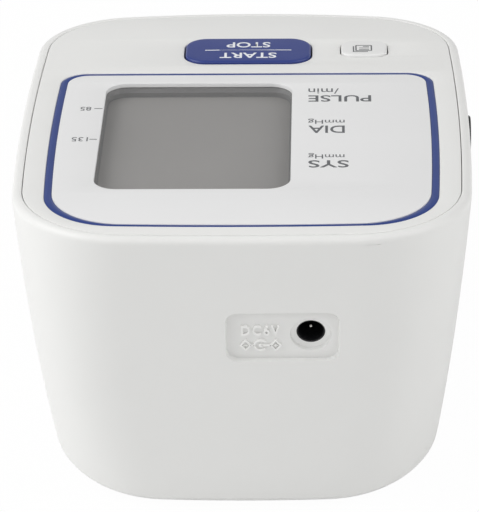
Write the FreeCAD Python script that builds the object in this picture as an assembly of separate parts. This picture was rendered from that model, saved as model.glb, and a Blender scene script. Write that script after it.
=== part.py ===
import FreeCAD, Part
import math
import os
from dataclasses import dataclass, replace

os.makedirs("parts", exist_ok=True)
Vec = FreeCAD.Vector

# Desk unit of an upper-arm blood pressure monitor.
# Frame: +Z up, the user sits at -Y, the origin is on the table under the middle of the case.
# Face coordinates (u, v, w): u along +X, v uphill towards the rear, w out of the sloping face.
# All sizes are in millimetres.

# --- case -----------------------------------------------------------------------------------------
CASE_WIDTH = 103.0          # across the rim
CASE_LENGTH = 129.0         # front to rear, at the rim
REAR_HEIGHT = 80.0          # table to the rim at the rear
FACE_TILT = 14.5            # degrees, the face slopes down towards the user
FOOT_HEIGHT = 1.0           # table to the underside of the case
MID_FRACTION = 0.525        # height of the middle section, as a share of the local height
MID_INSET = 2.8             # from the rim to the case's side at its middle section
BASE_WIDTH = 89.4           # across the case at its underside
MID_REAR = 64.4             # rear wall from the origin, at the middle section
BASE_REAR = 63.2            # rear wall from the origin, at the underside
MID_FRONT = 62.8            # front wall from the origin, at the middle section
BASE_FRONT = 59.5           # front wall from the origin, at the underside
RIM_RADIUS = 2.0            # rounding of the rim's outer edge
BASE_RADIUS = 2.0           # rounding of the underside's edge
RIM_WIDTH = 2.3             # from the outer edge of the rim to the parting gap
SEAM_GAP = 0.3              # parting gap around the top cover
WALL = 2.4                  # case wall
FLOOR = 2.4                 # case floor
LEDGE_WIDTH = 2.4           # ledge that carries the cover's skirt
LEDGE_HEIGHT = 2.5

# --- top cover and what lies in its face ----------------------------------------------------------
COVER_THICK = 3.0
SKIRT_THICK = 1.8
SKIRT_DEPTH = 9.0           # face to the lower edge of the skirt
PANEL_THICK = 1.0
PANEL_FIT = 0.05            # clearance of the pieces laid into the face
RING_HALF_WIDTH = 44.0      # blue ring, outer edge, from the middle of the case
RING_FRONT = -26.5
RING_REAR_MARGIN = 4.65     # from the rear end of the face to the ring
RING_SIDE_BAND = 1.6        # width of the ring along the sides
RING_FRONT_BAND = 0.95
RING_REAR_BAND = 0.85
WINDOW_U = 11.05            # middle of the display window
WINDOW_V = 9.7
WINDOW_WIDTH = 43.5
WINDOW_LENGTH = 60.7
WINDOW_RADIUS = 5.2
LENS_THICK = 1.0
LENS_MARGIN = 1.4           # how far the clear window reaches under the panel
LCD_DEPTH = 3.4             # face to the top of the LCD glass
LCD_THICK = 2.6
LCD_MARGIN = 2.5            # how far the LCD glass reaches past the window
FRAME_WALL = 1.8
FRAME_FIT = 0.15
STRIP_WIDTH = 2.0
BOARD_DEPTH = 9.0           # face to the top of the circuit board
BOARD_THICK = 1.6

# --- buttons --------------------------------------------------------------------------------------
START_U = 0.0
START_V = -40.2
START_WIDTH = 30.3
START_LENGTH = 15.4
START_RADIUS = 5.1
MEMORY_U = -28.0
MEMORY_V = -41.2
MEMORY_WIDTH = 11.4
MEMORY_LENGTH = 9.8
MEMORY_RADIUS = 3.0
BUTTON_PROUD = 0.7          # how far a cap stands out of the face
BUTTON_GAP = 0.35           # gap around a cap
BUTTON_TRAVEL = 1.0
BUTTON_SEAT = 0.15          # cap flange to the underside of the cover
FLANGE_LIP = 1.1
FLANGE_THICK = 1.2
CAP_WALL = 1.5
STEM_RADIUS = 2.4
SWITCH_SIDE = 6.0
SWITCH_HEIGHT = 2.6
ACTUATOR_RADIUS = 1.5
ACTUATOR_FIT = 0.08
ACTUATOR_SINK = 1.3         # how far the actuator reaches into its housing at rest
STOP_ROOM = 0.2             # what is left under a moving piece at the end of its travel

# --- sockets --------------------------------------------------------------------------------------
DC_X = -15.15
DC_DROP = 11.0              # from the middle of the face down to the DC socket
DC_RECESS_WIDTH = 24.7
DC_RECESS_HEIGHT = 13.9
DC_RECESS_X = -9.0
DC_RECESS_RADIUS = 3.0
DC_RECESS_DEPTH = 1.0
DC_FUNNEL_RADIUS = 4.6
DC_HOLE_RADIUS = 3.15
DC_BORE_DEPTH = 9.5
DC_PIN_RADIUS = 1.0
DC_PIN_SINK = 1.5           # contact pin below the socket's mouth
DC_BODY_WIDTH = 9.0
DC_BODY_HEIGHT = 11.0
DC_BODY_LENGTH = 12.0
SHELF_THICK = 2.0
AIR_Y = -10.4
AIR_DROP = 13.52            # from the middle of the face down to the air socket
AIR_PROUD = 0.9             # outer face of the air socket, past the rim
AIR_COLLAR_RADIUS = 4.7
AIR_FLANGE_RADIUS = 6.5
AIR_FLANGE_THICK = 2.0
AIR_BORE_RADIUS = 3.0
AIR_BORE_LENGTH = 8.0
AIR_BODY_LENGTH = 10.0
SOCKET_FIT = 0.1

# --- batteries and their door ---------------------------------------------------------------------
CELL_RADIUS = 7.25
CELL_LENGTH = 49.5          # without the positive nub
NUB_RADIUS = 2.75
NUB_LENGTH = 1.0
CELL_PITCH = 14.9
CELL_COUNT = 4
CELL_CLEAR = 0.3
BAY_WALL = 1.6
BAY_REAR = 6.0
PLATE_THICK = 0.5
SPRING_LENGTH = 4.5
SPRING_RADIUS = 3.6
SPRING_WIRE = 0.4           # radius of the spring wire
SPRING_HALF_TURNS = 7
DOOR_GAP = 0.3
DOOR_PIN_RADIUS = 0.7
DOOR_PIN_FIT = 0.08
DOOR_PIN_LENGTH = 1.2
LATCH_HALF = 6.0
LATCH_REACH = 1.3           # latch tab past the front edge of the door
LATCH_THICK = 1.0
LATCH_HEIGHT = 3.6
LATCH_CLEAR = 0.6
GRIP_RIBS = 5
GRIP_PITCH = 1.6
GRIP_DEPTH = 0.3

# --- pump, valve and air way ----------------------------------------------------------------------
PUMP_Y = 36.5
PUMP_FLOOR_GAP = 0.6        # floor to the widest part of the pump
MOTOR_END_X = -30.0
MOTOR_LENGTH = 30.0
MOTOR_RADIUS = 12.0
CUSHION_THICK = 1.6
CUSHION_LENGTH = 22.0
HOUSING_RADIUS = 13.5
HOUSING_LENGTH = 10.0
HOUSING_WALL = 2.0
DIAPHRAGM_THICK = 2.0
HEAD_LENGTH = 8.0
SHAFT_RADIUS = 1.0
SHAFT_FIT = 0.05
SHAFT_SINK = 12.0
CRANK_RADIUS = 4.0
CRANK_OFFSET = 1.6
CRANK_PIN_RADIUS = 1.0
CRADLE_THICK = 3.0
CRADLE_PITCH = 13.0
CRADLE_FIT = 0.1
STRAP_THICK = 1.2
STRAP_EAR = 3.5
NOZZLE_RADIUS = 2.0
NOZZLE_BORE = 1.0
NOZZLE_LENGTH = 3.8
TUBE_RADIUS = 3.0
TUBE_FIT = 0.05
TUBE_BEND = 4.8
TUBE_BEND_ROOM = 6.0        # run that a bend needs past the end of its nozzle
VALVE_X = 22.0
VALVE_Y = 14.5
VALVE_RADIUS = 6.0
VALVE_HEIGHT = 16.0
PLUNGER_RADIUS = 2.5
PLUNGER_LENGTH = 11.0
PLUNGER_TRAVEL = 0.8
PLUNGER_FIT = 0.08
PLUNGER_SEAT = 0.2
VALVE_SPRING_WIRE = 0.2     # radius of the spring wire
VALVE_SPRING_HALF_TURNS = 8
VALVE_CAP_THICK = 3.0
VALVE_TUBE_DROP = 21.3      # from the middle of the face down to the valve tube's crossing
MANIFOLD_X = 0.0
MANIFOLD_Y = -2.0
MANIFOLD_LENGTH = 18.0
MANIFOLD_DEPTH = 10.0
MANIFOLD_HEIGHT = 7.0
MANIFOLD_PORT_X = 4.5       # upper ports, either side of the middle
LEAK_RADIUS = 3.0
LEAK_LENGTH = 7.0
PUMP_TUBE_X = 36.0
JACK_TUBE_RUN = 10.4        # air socket's body to the bend of its tube

# --- board parts, screws, feet, leads -------------------------------------------------------------
SENSOR_U = -21.0
SENSOR_V = 16.0
SENSOR_SIDE = 10.0
SENSOR_HEIGHT = 3.5
BUZZER_U = 12.0
BUZZER_V = -41.0
BUZZER_RADIUS = 6.0
BUZZER_HEIGHT = 3.2
CHIP_U = 16.0
CHIP_V = -8.0
CHIP_SIDE = 12.0
CHIP_HEIGHT = 1.4
BOARD_FRONT = -55.0
BOARD_REAR = 47.0
BOARD_FRONT_HALF = 31.5     # half width beside the buttons
BOARD_STEP = -26.0          # where the board widens behind the buttons
BOARD_NOTCH_RUN = 14.0      # air socket's body to the edge of the board's notch
BOARD_NOTCH_REAR = 6.0
BOARD_LEFT = -38.0
BOARD_RIGHT = 38.5
BOARD_POST_RADIUS = 2.4
BOARD_POSTS = ((-27.7, -51.6), (27.7, -51.6), (-34.0, 42.0), (-34.0, 12.0))
BOARD_SCREW_RADIUS = 1.0
BOARD_HEAD_RADIUS = 1.9
BOARD_HEAD_HEIGHT = 1.3
BOARD_SCREW_LENGTH = 5.0
BOSSES = ((37.5, -31.0, 32.0), (-37.5, -31.0, 32.0), (28.0, 55.0, 50.0), (-28.0, 55.0, 50.0))
BOSS_RADIUS = 4.2
WELL_RADIUS = 3.1
BOSS_WEB = 2.5
POST_RADIUS = 3.2
SCREW_RADIUS = 1.5
SCREW_HOLE_FIT = 0.2
SCREW_HEAD_RADIUS = 2.8
SCREW_HEAD_HEIGHT = 2.0
SCREW_LENGTH = 10.0
DRIVE_RADIUS = 0.9
DRIVE_DEPTH = 1.0
FEET = ((35.2, -46.0), (-35.2, -46.0), (33.0, 49.0), (-33.0, 49.0))
FOOT_RADIUS = 4.4
FOOT_SINK = 0.7
LEAD_RADIUS = 0.6
LEAD_SPACING = 2.4
LEAD_BEND = 3.0
LEAD_END_GAP = 0.1

# --- derived sizes --------------------------------------------------------------------------------
TILT = math.radians(FACE_TILT)
HALF_LENGTH = CASE_LENGTH / 2
FACE_Z = REAR_HEIGHT - math.tan(TILT) * HALF_LENGTH
FACE = FreeCAD.Placement(Vec(0, 0, FACE_Z), FreeCAD.Rotation(Vec(1, 0, 0), FACE_TILT))
BASE_Z = FOOT_HEIGHT
FLOOR_Z = BASE_Z + FLOOR
MID_WIDTH = CASE_WIDTH - 2 * MID_INSET
RING_REAR = HALF_LENGTH - RING_REAR_MARGIN
DC_Z = FACE_Z - DC_DROP
AIR_Z = FACE_Z - AIR_DROP
AIR_FACE_X = -CASE_WIDTH / 2 - AIR_PROUD
AIR_BODY_END_X = AIR_FACE_X + AIR_BODY_LENGTH
JACK_TUBE_X = AIR_BODY_END_X + JACK_TUBE_RUN
BOARD_NOTCH_U = AIR_BODY_END_X + BOARD_NOTCH_RUN
VALVE_TUBE_TOP = FACE_Z - VALVE_TUBE_DROP
SENSOR_LOW = BOARD_DEPTH + BOARD_THICK + SENSOR_HEIGHT
BAY_HALF = CELL_COUNT * CELL_PITCH / 2 + DOOR_GAP
BAY_LENGTH = CELL_LENGTH + NUB_LENGTH + SPRING_LENGTH + 2 * PLATE_THICK
BAY_FRONT = BAY_REAR - BAY_LENGTH
CELL_Z = FLOOR_Z + CELL_CLEAR + CELL_RADIUS
BAY_CEILING = CELL_Z + CELL_RADIUS + CELL_CLEAR
BAY_TOP = BAY_CEILING + BAY_WALL
HINGE_Y = BAY_REAR - DOOR_GAP - FLOOR / 2
HINGE_Z = BASE_Z + FLOOR / 2
DC_MOUTH_Y = MID_REAR - WALL
FLANGE_TOP = -COVER_THICK - BUTTON_SEAT
ACTUATOR_TOP = -BOARD_DEPTH + SWITCH_HEIGHT + BUTTON_TRAVEL + STOP_ROOM
MANIFOLD_Z = BAY_TOP + MANIFOLD_HEIGHT / 2
CUSHION_RADIUS = MOTOR_RADIUS + CUSHION_THICK
PUMP_Z = FLOOR_Z + PUMP_FLOOR_GAP + max(HOUSING_RADIUS, CUSHION_RADIUS)
CRADLE_RADIUS = CUSHION_RADIUS + CRADLE_FIT
HOUSING_X = MOTOR_END_X + MOTOR_LENGTH
VALVE_TOP = FLOOR_Z + VALVE_HEIGHT
PLUNGER_TOP = VALVE_TOP - PLUNGER_SEAT
PLUNGER_LOW = PLUNGER_TOP - PLUNGER_LENGTH
VALVE_SPRING_CLOSED = VALVE_SPRING_WIRE * (VALVE_SPRING_HALF_TURNS + 2)
VALVE_BORE_Z = PLUNGER_LOW - PLUNGER_TRAVEL - VALVE_SPRING_CLOSED - STOP_ROOM
BIG = 400.0                 # larger than anything here
TOUCH = 0.01                # a point this near to a face lies on it


# --- small tools ----------------------------------------------------------------------------------
def box(x0, x1, y0, y1, z0, z1):
    """Box between two corners."""
    return Part.makeBox(x1 - x0, y1 - y0, z1 - z0, Vec(x0, y0, z0))


def rod(radius, start, end):
    """Round bar from one point to another."""
    return Part.makeCylinder(radius, (end - start).Length, start, end - start)


def in_face(shape):
    """Place a shape drawn in face coordinates."""
    placed = shape.copy()
    placed.Placement = FACE.multiply(placed.Placement)
    return placed


def face_point(u, v, w):
    """Face coordinates to the part's frame."""
    return FACE.multVec(Vec(u, v, w))


def face_slab(top, bottom):
    """Everything between two depths of the face."""
    return in_face(box(-BIG, BIG, -BIG, BIG, bottom, top))


def rounded_plate(u, v, width, length, radius, top, bottom, grow=0.0):
    """Plate with round corners in face coordinates, grown by a margin all round."""
    half_u, half_v = width / 2 + grow, length / 2 + grow
    plate = box(u - half_u, u + half_u, v - half_v, v + half_v, bottom, top)
    upright = [e for e in plate.Edges if abs(e.tangentAt(e.FirstParameter).z) > 0.9]
    return plate.makeFillet(radius + grow, upright)


def meet(centre_a, radius_a, centre_b, radius_b, near):
    """Crossing of two circles that lies nearest to a point."""
    apart = (centre_b - centre_a).Length
    along = (radius_a ** 2 - radius_b ** 2 + apart ** 2) / (2 * apart)
    across = math.sqrt(radius_a ** 2 - along ** 2)
    unit = (centre_b - centre_a).normalize()
    foot = centre_a + unit * along
    side = Vec(-unit.y, unit.x, 0) * across
    return min((foot + side, foot - side), key=lambda p: (p - near).Length)


def bow_radius(half_chord, rise):
    """Radius of an arc from its half chord and its rise."""
    return (half_chord ** 2 + rise ** 2) / (2 * rise)


@dataclass(frozen=True)
class Outline:
    """Rectangle with four bowed sides, joined by round corners that meet them tangentially."""

    half_width: float
    front: float
    rear: float
    side_bow: float
    front_bow: float
    rear_bow: float
    front_radius: float
    rear_radius: float

    def wire(self, inset=0.0):
        """Closed wire, moved inwards by the inset; side arc and corner arc in turn."""
        middle = (self.front + self.rear) / 2
        side = bow_radius((self.rear - self.front) / 2, self.side_bow)
        rear = bow_radius(self.half_width, self.rear_bow)
        front = bow_radius(self.half_width, self.front_bow)
        arcs = (
            (Vec(self.half_width - side, middle, 0), side, Vec(self.half_width - inset, middle, 0)),
            (Vec(0, self.rear - rear, 0), rear, Vec(0, self.rear - inset, 0)),
            (Vec(side - self.half_width, middle, 0), side, Vec(inset - self.half_width, middle, 0)),
            (Vec(0, self.front + front, 0), front, Vec(0, self.front + inset, 0)),
        )
        radii = (self.rear_radius, self.rear_radius, self.front_radius, self.front_radius)
        signs = ((1, self.rear), (-1, self.rear), (-1, self.front), (1, self.front))
        corners = []
        for i in range(4):
            centre_a, radius_a, _ = arcs[i]
            centre_b, radius_b, _ = arcs[(i + 1) % 4]
            near = Vec(signs[i][0] * self.half_width, signs[i][1], 0)
            centre = meet(centre_a, radius_a - radii[i], centre_b, radius_b - radii[i], near)
            dir_a = (centre - centre_a).normalize()
            dir_b = (centre - centre_b).normalize()
            bend = centre + (dir_a + dir_b).normalize() * (radii[i] - inset)
            start = centre_a + dir_a * (radius_a - inset)
            end = centre_b + dir_b * (radius_b - inset)
            corners.append((start, bend, end))
        edges = []
        for i in range(4):
            edges.append(Part.Arc(corners[i - 1][2], arcs[i][2], corners[i][0]).toShape())
            edges.append(Part.Arc(*corners[i]).toShape())
        return Part.Wire(edges)


BASE_OUTLINE = Outline(BASE_WIDTH / 2, -BASE_FRONT, BASE_REAR, 1.5, 2.5, 2.4, 20.0, 26.5)
MID_OUTLINE = Outline(MID_WIDTH / 2, -MID_FRONT, MID_REAR, 2.0, 3.8, 1.4, 19.0, 23.0)
RIM_OUTLINE = Outline(CASE_WIDTH / 2, -HALF_LENGTH, HALF_LENGTH, 2.3, 5.6, 1.75, 23.0, 27.0)
RING_OUTLINE = Outline(RING_HALF_WIDTH, RING_FRONT, RING_REAR, 0.1, 0.1, 1.0, 6.9, 18.8)


def section(outline, fraction, inset, z_low):
    """Section wire in the plane that lies at a share of the local height above z_low."""
    slope = fraction * math.tan(TILT)
    stretch = math.hypot(1.0, slope)
    level = replace(outline, front=outline.front * stretch, rear=outline.rear * stretch)
    wire = level.wire(inset)
    height = z_low + fraction * (FACE_Z - z_low)
    turn = FreeCAD.Rotation(Vec(1, 0, 0), math.degrees(math.atan(slope)))
    wire.Placement = FreeCAD.Placement(Vec(0, 0, height), turn)
    return wire


def case_form(z_low, base_inset, mid_inset, rim_inset):
    """Solid through the base, middle and rim sections, each moved inwards by its inset."""
    sections = [
        section(BASE_OUTLINE, 0.0, base_inset, z_low),
        section(MID_OUTLINE, MID_FRACTION, mid_inset, z_low),
        section(RIM_OUTLINE, 1.0, rim_inset, z_low),
    ]
    return Part.makeLoft(sections, True, False)


def cavity_form(extra):
    """Inside of the case, made smaller by a distance all round."""
    return case_form(FLOOR_Z, WALL + extra, WALL + extra, RIM_WIDTH + extra)


def edges_on(shape, test):
    """Edges whose two ends and middle all pass a test."""
    found = []
    for edge in shape.Edges:
        middle = edge.valueAt((edge.FirstParameter + edge.LastParameter) / 2)
        points = [v.Point for v in edge.Vertexes] + [middle]
        if all(test(p) for p in points):
            found.append(edge)
    return found


def bent_path(points, bend):
    """Wire of straight runs joined by tangent arcs of one radius."""
    edges = []
    last = points[0]
    for before, corner, after in zip(points, points[1:], points[2:]):
        back = (before - corner).normalize()
        on = (after - corner).normalize()
        half = back.getAngle(on) / 2
        reach = bend / math.tan(half)
        start, end = corner + back * reach, corner + on * reach
        to_centre = (back + on).normalize()
        middle = corner + to_centre * (bend / math.sin(half) - bend)
        edges.append(Part.LineSegment(last, start).toShape())
        edges.append(Part.Arc(start, middle, end).toShape())
        last = end
    edges.append(Part.LineSegment(last, points[-1]).toShape())
    return Part.Wire(edges)


def swept(points, bend, radius):
    """Round section carried along a bent path."""
    path = bent_path(points, bend)
    profile = Part.Wire([Part.makeCircle(radius, points[0], points[1] - points[0])])
    return path.makePipeShell([profile], True, False)


def tube(points):
    """Soft air tube, open along its bore."""
    return swept(points, TUBE_BEND, TUBE_RADIUS).cut(swept(points, TUBE_BEND, NOZZLE_RADIUS + TUBE_FIT))


def coil(radius, wire_radius, length, half_turns):
    """Compression spring that stands on the origin along +Z, made of tilted half rings."""
    rise = (length - 2 * wire_radius) / half_turns
    rings = []
    for i in range(half_turns):
        way = 1 if i % 2 == 0 else -1
        start = Vec(way * (radius - wire_radius), 0, wire_radius + i * rise)
        centre = Vec(0, 0, start.z + rise / 2)
        axis = (start - centre).cross(Vec(0, way, 0))
        profile = Part.Face(Part.Wire([Part.makeCircle(wire_radius, start, Vec(0, 1, 0))]))
        rings.append(profile.revolve(centre, axis, 180))
    return rings[0].fuse(rings[1:]).removeSplitter()


# --- case -----------------------------------------------------------------------------------------
def lower_case():
    """Tub with a rounded rim, battery bay, screw bosses, pump cradle and socket seats."""
    outer = case_form(BASE_Z, 0.0, 0.0, 0.0)
    rim = edges_on(outer, lambda p: abs(FACE.inverse().multVec(p).z) < TOUCH)
    outer = outer.makeFillet(RIM_RADIUS, rim)
    foot = edges_on(outer, lambda p: abs(p.z - BASE_Z) < TOUCH)
    outer = outer.makeFillet(BASE_RADIUS, foot)
    shell = outer.cut(cavity_form(0.0))
    ledge = cavity_form(0.0).cut(cavity_form(LEDGE_WIDTH))
    ledge = ledge.common(face_slab(-SKIRT_DEPTH, -SKIRT_DEPTH - LEDGE_HEIGHT))
    shell = shell.fuse([ledge, battery_bay(), pump_cradle(), dc_seat()] + [boss(*b) for b in BOSSES])
    shell = shell.cut([bay_room(), latch_room(), dc_recess(), dc_body(SOCKET_FIT), air_hole()])
    shell = shell.cut([boss_well(*b) for b in BOSSES])
    shell = shell.cut([foot_pocket(x, y) for x, y in FEET])
    return shell.removeSplitter()


def battery_bay():
    """Walls and roof over the cells, standing on the floor."""
    reach = BAY_HALF + BAY_WALL
    return box(-reach, reach, BAY_FRONT - BAY_WALL, BAY_REAR + BAY_WALL, BASE_Z, BAY_TOP)


def bay_room():
    """Room for the cells, open through the floor, with the holes for the door's pins."""
    room = box(-BAY_HALF, BAY_HALF, BAY_FRONT, BAY_REAR, 0.0, BAY_CEILING)
    reach = BAY_HALF + DOOR_PIN_LENGTH
    pins = rod(DOOR_PIN_RADIUS + DOOR_PIN_FIT, Vec(-reach, HINGE_Y, HINGE_Z), Vec(reach, HINGE_Y, HINGE_Z))
    return room.fuse(pins)


def latch_room():
    """Notch in the front of the bay that the door's latch rises into."""
    reach = LATCH_HALF + DOOR_GAP
    depth = LATCH_REACH + LATCH_CLEAR
    top = FLOOR_Z + LATCH_HEIGHT + LATCH_CLEAR
    return box(-reach, reach, BAY_FRONT - depth, BAY_FRONT + DOOR_GAP, 0.0, top)


def pump_cradle():
    """Two ribs on the floor with half-round saddles under the pump's cushion."""
    middle = MOTOR_END_X + MOTOR_LENGTH / 2
    half = CRADLE_RADIUS + STRAP_EAR
    ribs = []
    for side in (-1, 1):
        x = middle + side * CRADLE_PITCH / 2 - CRADLE_THICK / 2
        ribs.append(box(x, x + CRADLE_THICK, PUMP_Y - half, PUMP_Y + half, BASE_Z + FLOOR / 2, PUMP_Z))
    saddle = rod(CRADLE_RADIUS, Vec(MOTOR_END_X, PUMP_Y, PUMP_Z), Vec(HOUSING_X, PUMP_Y, PUMP_Z))
    return ribs[0].fuse(ribs[1]).cut(saddle)


def dc_seat():
    """Shelf under the DC socket, on the rear wall."""
    half = DC_BODY_WIDTH / 2
    low = DC_Z - DC_BODY_HEIGHT / 2
    return box(DC_X - half, DC_X + half, DC_MOUTH_Y - DC_BODY_LENGTH, DC_MOUTH_Y + WALL / 2,
               low - SHELF_THICK, low)


def dc_recess():
    """Shallow recess in the rear wall with the funnel that leads to the DC socket."""
    half_x, half_z = DC_RECESS_WIDTH / 2, DC_RECESS_HEIGHT / 2
    floor_y = MID_REAR - DC_RECESS_DEPTH
    recess = box(DC_RECESS_X - half_x, DC_RECESS_X + half_x, floor_y, floor_y + WALL + FLOOR,
                 DC_Z - half_z, DC_Z + half_z)
    along = [e for e in recess.Edges if abs(e.tangentAt(e.FirstParameter).y) > 0.9]
    recess = recess.makeFillet(DC_RECESS_RADIUS, along)
    into = Vec(0, -1, 0)
    depth = (WALL - DC_RECESS_DEPTH) / 2
    funnel = Part.makeCone(DC_FUNNEL_RADIUS, DC_HOLE_RADIUS, depth, Vec(DC_X, floor_y, DC_Z), into)
    hole = rod(DC_HOLE_RADIUS, Vec(DC_X, floor_y, DC_Z), Vec(DC_X, DC_MOUTH_Y - SOCKET_FIT, DC_Z))
    return recess.fuse([funnel, hole])


def air_hole():
    """Hole in the left wall for the air socket."""
    start = Vec(AIR_FACE_X - WALL, AIR_Y, AIR_Z)
    return rod(AIR_COLLAR_RADIUS + SOCKET_FIT, start, Vec(AIR_BODY_END_X, AIR_Y, AIR_Z))


def boss(x, y, top):
    """Screw boss that rises from the floor."""
    return rod(BOSS_RADIUS, Vec(x, y, BASE_Z + FLOOR / 2), Vec(x, y, top))


def boss_well(x, y, top):
    """Well for the screw's head and the hole through the web at its end."""
    well = rod(WELL_RADIUS, Vec(x, y, 0), Vec(x, y, top - BOSS_WEB))
    return well.fuse(rod(SCREW_RADIUS + SCREW_HOLE_FIT, Vec(x, y, 0), Vec(x, y, top + BOSS_WEB)))


def foot_pocket(x, y):
    """Shallow pocket under the floor for a rubber foot."""
    return rod(FOOT_RADIUS, Vec(x, y, BASE_Z - FOOT_SINK), Vec(x, y, BASE_Z + FOOT_SINK))


def top_cover():
    """Face plate with a skirt, screw posts, the pocket for the panel and the openings."""
    form = cavity_form(SEAM_GAP)
    plate = form.common(face_slab(WALL, -COVER_THICK))
    skirt = form.cut(cavity_form(SEAM_GAP + SKIRT_THICK))
    skirt = skirt.common(face_slab(-COVER_THICK, -SKIRT_DEPTH))
    posts = []
    under = face_slab(-COVER_THICK / 2, -BIG)
    for x, y, top in BOSSES:
        post = rod(POST_RADIUS, Vec(x, y, top), Vec(x, y, REAR_HEIGHT)).common(under)
        posts.append(post)
    for u, v in BOARD_POSTS:
        posts.append(in_face(rod(BOARD_POST_RADIUS, Vec(u, v, -BOARD_DEPTH), Vec(u, v, -COVER_THICK / 2))))
    cover = plate.fuse([skirt] + posts)
    tools = [panel_pocket(), lens_pocket(), window_hole(), air_notch()]
    for u, v, width, length, radius in (start_size(), memory_size()):
        opening = rounded_plate(u, v, width, length, radius, WALL, -COVER_THICK - WALL, BUTTON_GAP)
        tools.append(in_face(opening))
    for x, y, top in BOSSES:
        tools.append(rod(SCREW_RADIUS, Vec(x, y, top - BOSS_WEB), Vec(x, y, top + SCREW_LENGTH)))
    for u, v in BOARD_POSTS:
        end = -BOARD_DEPTH + BOARD_SCREW_LENGTH
        tools.append(in_face(rod(BOARD_SCREW_RADIUS, Vec(u, v, -BOARD_DEPTH - WALL), Vec(u, v, end))))
    return cover.cut(tools).removeSplitter()


def air_notch():
    """Notch in the skirt around the air socket's flange."""
    half = AIR_FLANGE_RADIUS + SEAM_GAP
    return box(AIR_FACE_X, AIR_BODY_END_X + SEAM_GAP, AIR_Y - half, AIR_Y + half, 0.0, AIR_Z + half)


def start_size():
    """Place and size of the START/STOP cap."""
    return START_U, START_V, START_WIDTH, START_LENGTH, START_RADIUS


def memory_size():
    """Place and size of the memory cap."""
    return MEMORY_U, MEMORY_V, MEMORY_WIDTH, MEMORY_LENGTH, MEMORY_RADIUS


def prism(outline, inset, top, bottom):
    """Flat piece of an outline in face coordinates."""
    wire = outline.wire(inset)
    wire.translate(Vec(0, 0, bottom))
    return Part.Face(wire).extrude(Vec(0, 0, top - bottom))


def panel_pocket():
    """Pocket that holds the blue ring and the white panel."""
    return in_face(prism(RING_OUTLINE, -PANEL_FIT, WALL, -PANEL_THICK))


def window_plate(top, bottom, grow):
    """Plate of the display window's outline, grown by a margin."""
    return rounded_plate(WINDOW_U, WINDOW_V, WINDOW_WIDTH, WINDOW_LENGTH, WINDOW_RADIUS, top, bottom, grow)


def lens_pocket():
    """Step under the panel that carries the clear window."""
    return in_face(window_plate(0.0, -PANEL_THICK - LENS_THICK, LENS_MARGIN + PANEL_FIT))


def window_hole():
    """Opening through the cover to the LCD."""
    return in_face(window_plate(0.0, -COVER_THICK - WALL, 0.0))


# --- face pieces ----------------------------------------------------------------------------------
def ring_inner():
    """Inner edge of the blue ring: the band is narrower at the rear than along the sides."""
    return replace(
        RING_OUTLINE,
        half_width=RING_HALF_WIDTH - RING_SIDE_BAND,
        front=RING_FRONT + RING_FRONT_BAND,
        rear=RING_REAR - RING_REAR_BAND,
        front_radius=RING_OUTLINE.front_radius - RING_FRONT_BAND,
        rear_radius=RING_OUTLINE.rear_radius - RING_REAR_BAND,
    )


def trim_ring():
    """Blue ring laid around the panel."""
    outer = prism(RING_OUTLINE, 0.0, 0.0, -PANEL_THICK)
    return in_face(outer.cut(prism(ring_inner(), 0.0, WALL, -COVER_THICK)))


def display_panel():
    """White panel inside the ring, open over the display."""
    panel = prism(ring_inner(), PANEL_FIT, 0.0, -PANEL_THICK)
    return in_face(panel.cut(window_plate(WALL, -COVER_THICK, 0.0)))


def display_window():
    """Clear window under the panel."""
    return in_face(window_plate(-PANEL_THICK, -PANEL_THICK - LENS_THICK, LENS_MARGIN))


def lcd_box(top, bottom, grow):
    """Box of the LCD glass outline, grown by a margin."""
    half_u = WINDOW_WIDTH / 2 + LCD_MARGIN + grow
    half_v = WINDOW_LENGTH / 2 + LCD_MARGIN + grow
    return box(WINDOW_U - half_u, WINDOW_U + half_u, WINDOW_V - half_v, WINDOW_V + half_v, bottom, top)


def lcd_glass():
    """Glass sandwich of the display."""
    return in_face(lcd_box(-LCD_DEPTH, -LCD_DEPTH - LCD_THICK, 0.0))


def lcd_frame():
    """Frame between the cover and the board that holds the LCD glass."""
    frame = lcd_box(-COVER_THICK, -BOARD_DEPTH, FRAME_WALL)
    frame = frame.cut(lcd_box(-LCD_DEPTH, -BOARD_DEPTH - WALL, FRAME_FIT))
    return in_face(frame.cut(window_plate(WALL, -BOARD_DEPTH, 0.0)))


def lcd_strip(side):
    """Elastomer connector between one long edge of the LCD glass and the board."""
    edge = WINDOW_U + side * (WINDOW_WIDTH / 2 + LCD_MARGIN - STRIP_WIDTH / 2 - FRAME_FIT)
    half_v = WINDOW_LENGTH / 2
    return in_face(box(edge - STRIP_WIDTH / 2, edge + STRIP_WIDTH / 2, WINDOW_V - half_v, WINDOW_V + half_v,
                       -BOARD_DEPTH, -LCD_DEPTH - LCD_THICK))


# --- buttons and switches -------------------------------------------------------------------------
def button(u, v, width, length, radius):
    """Hollow cap with a flange under the cover and a stem down to its switch."""
    cap = rounded_plate(u, v, width, length, radius, BUTTON_PROUD, FLANGE_TOP - FLANGE_THICK)
    top = edges_on(cap, lambda p: abs(p.z - BUTTON_PROUD) < TOUCH)
    cap = cap.makeFillet(BUTTON_PROUD * 0.8, top)
    flange = rounded_plate(u, v, width, length, radius, FLANGE_TOP, FLANGE_TOP - FLANGE_THICK,
                           BUTTON_GAP + FLANGE_LIP)
    hollow = rounded_plate(u, v, width, length, radius, BUTTON_PROUD - CAP_WALL,
                           FLANGE_TOP - FLANGE_THICK, -CAP_WALL)
    stem = rod(STEM_RADIUS, Vec(u, v, ACTUATOR_TOP), Vec(u, v, BUTTON_PROUD - CAP_WALL))
    return in_face(cap.fuse(flange).cut(hollow).fuse(stem).removeSplitter())


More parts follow.
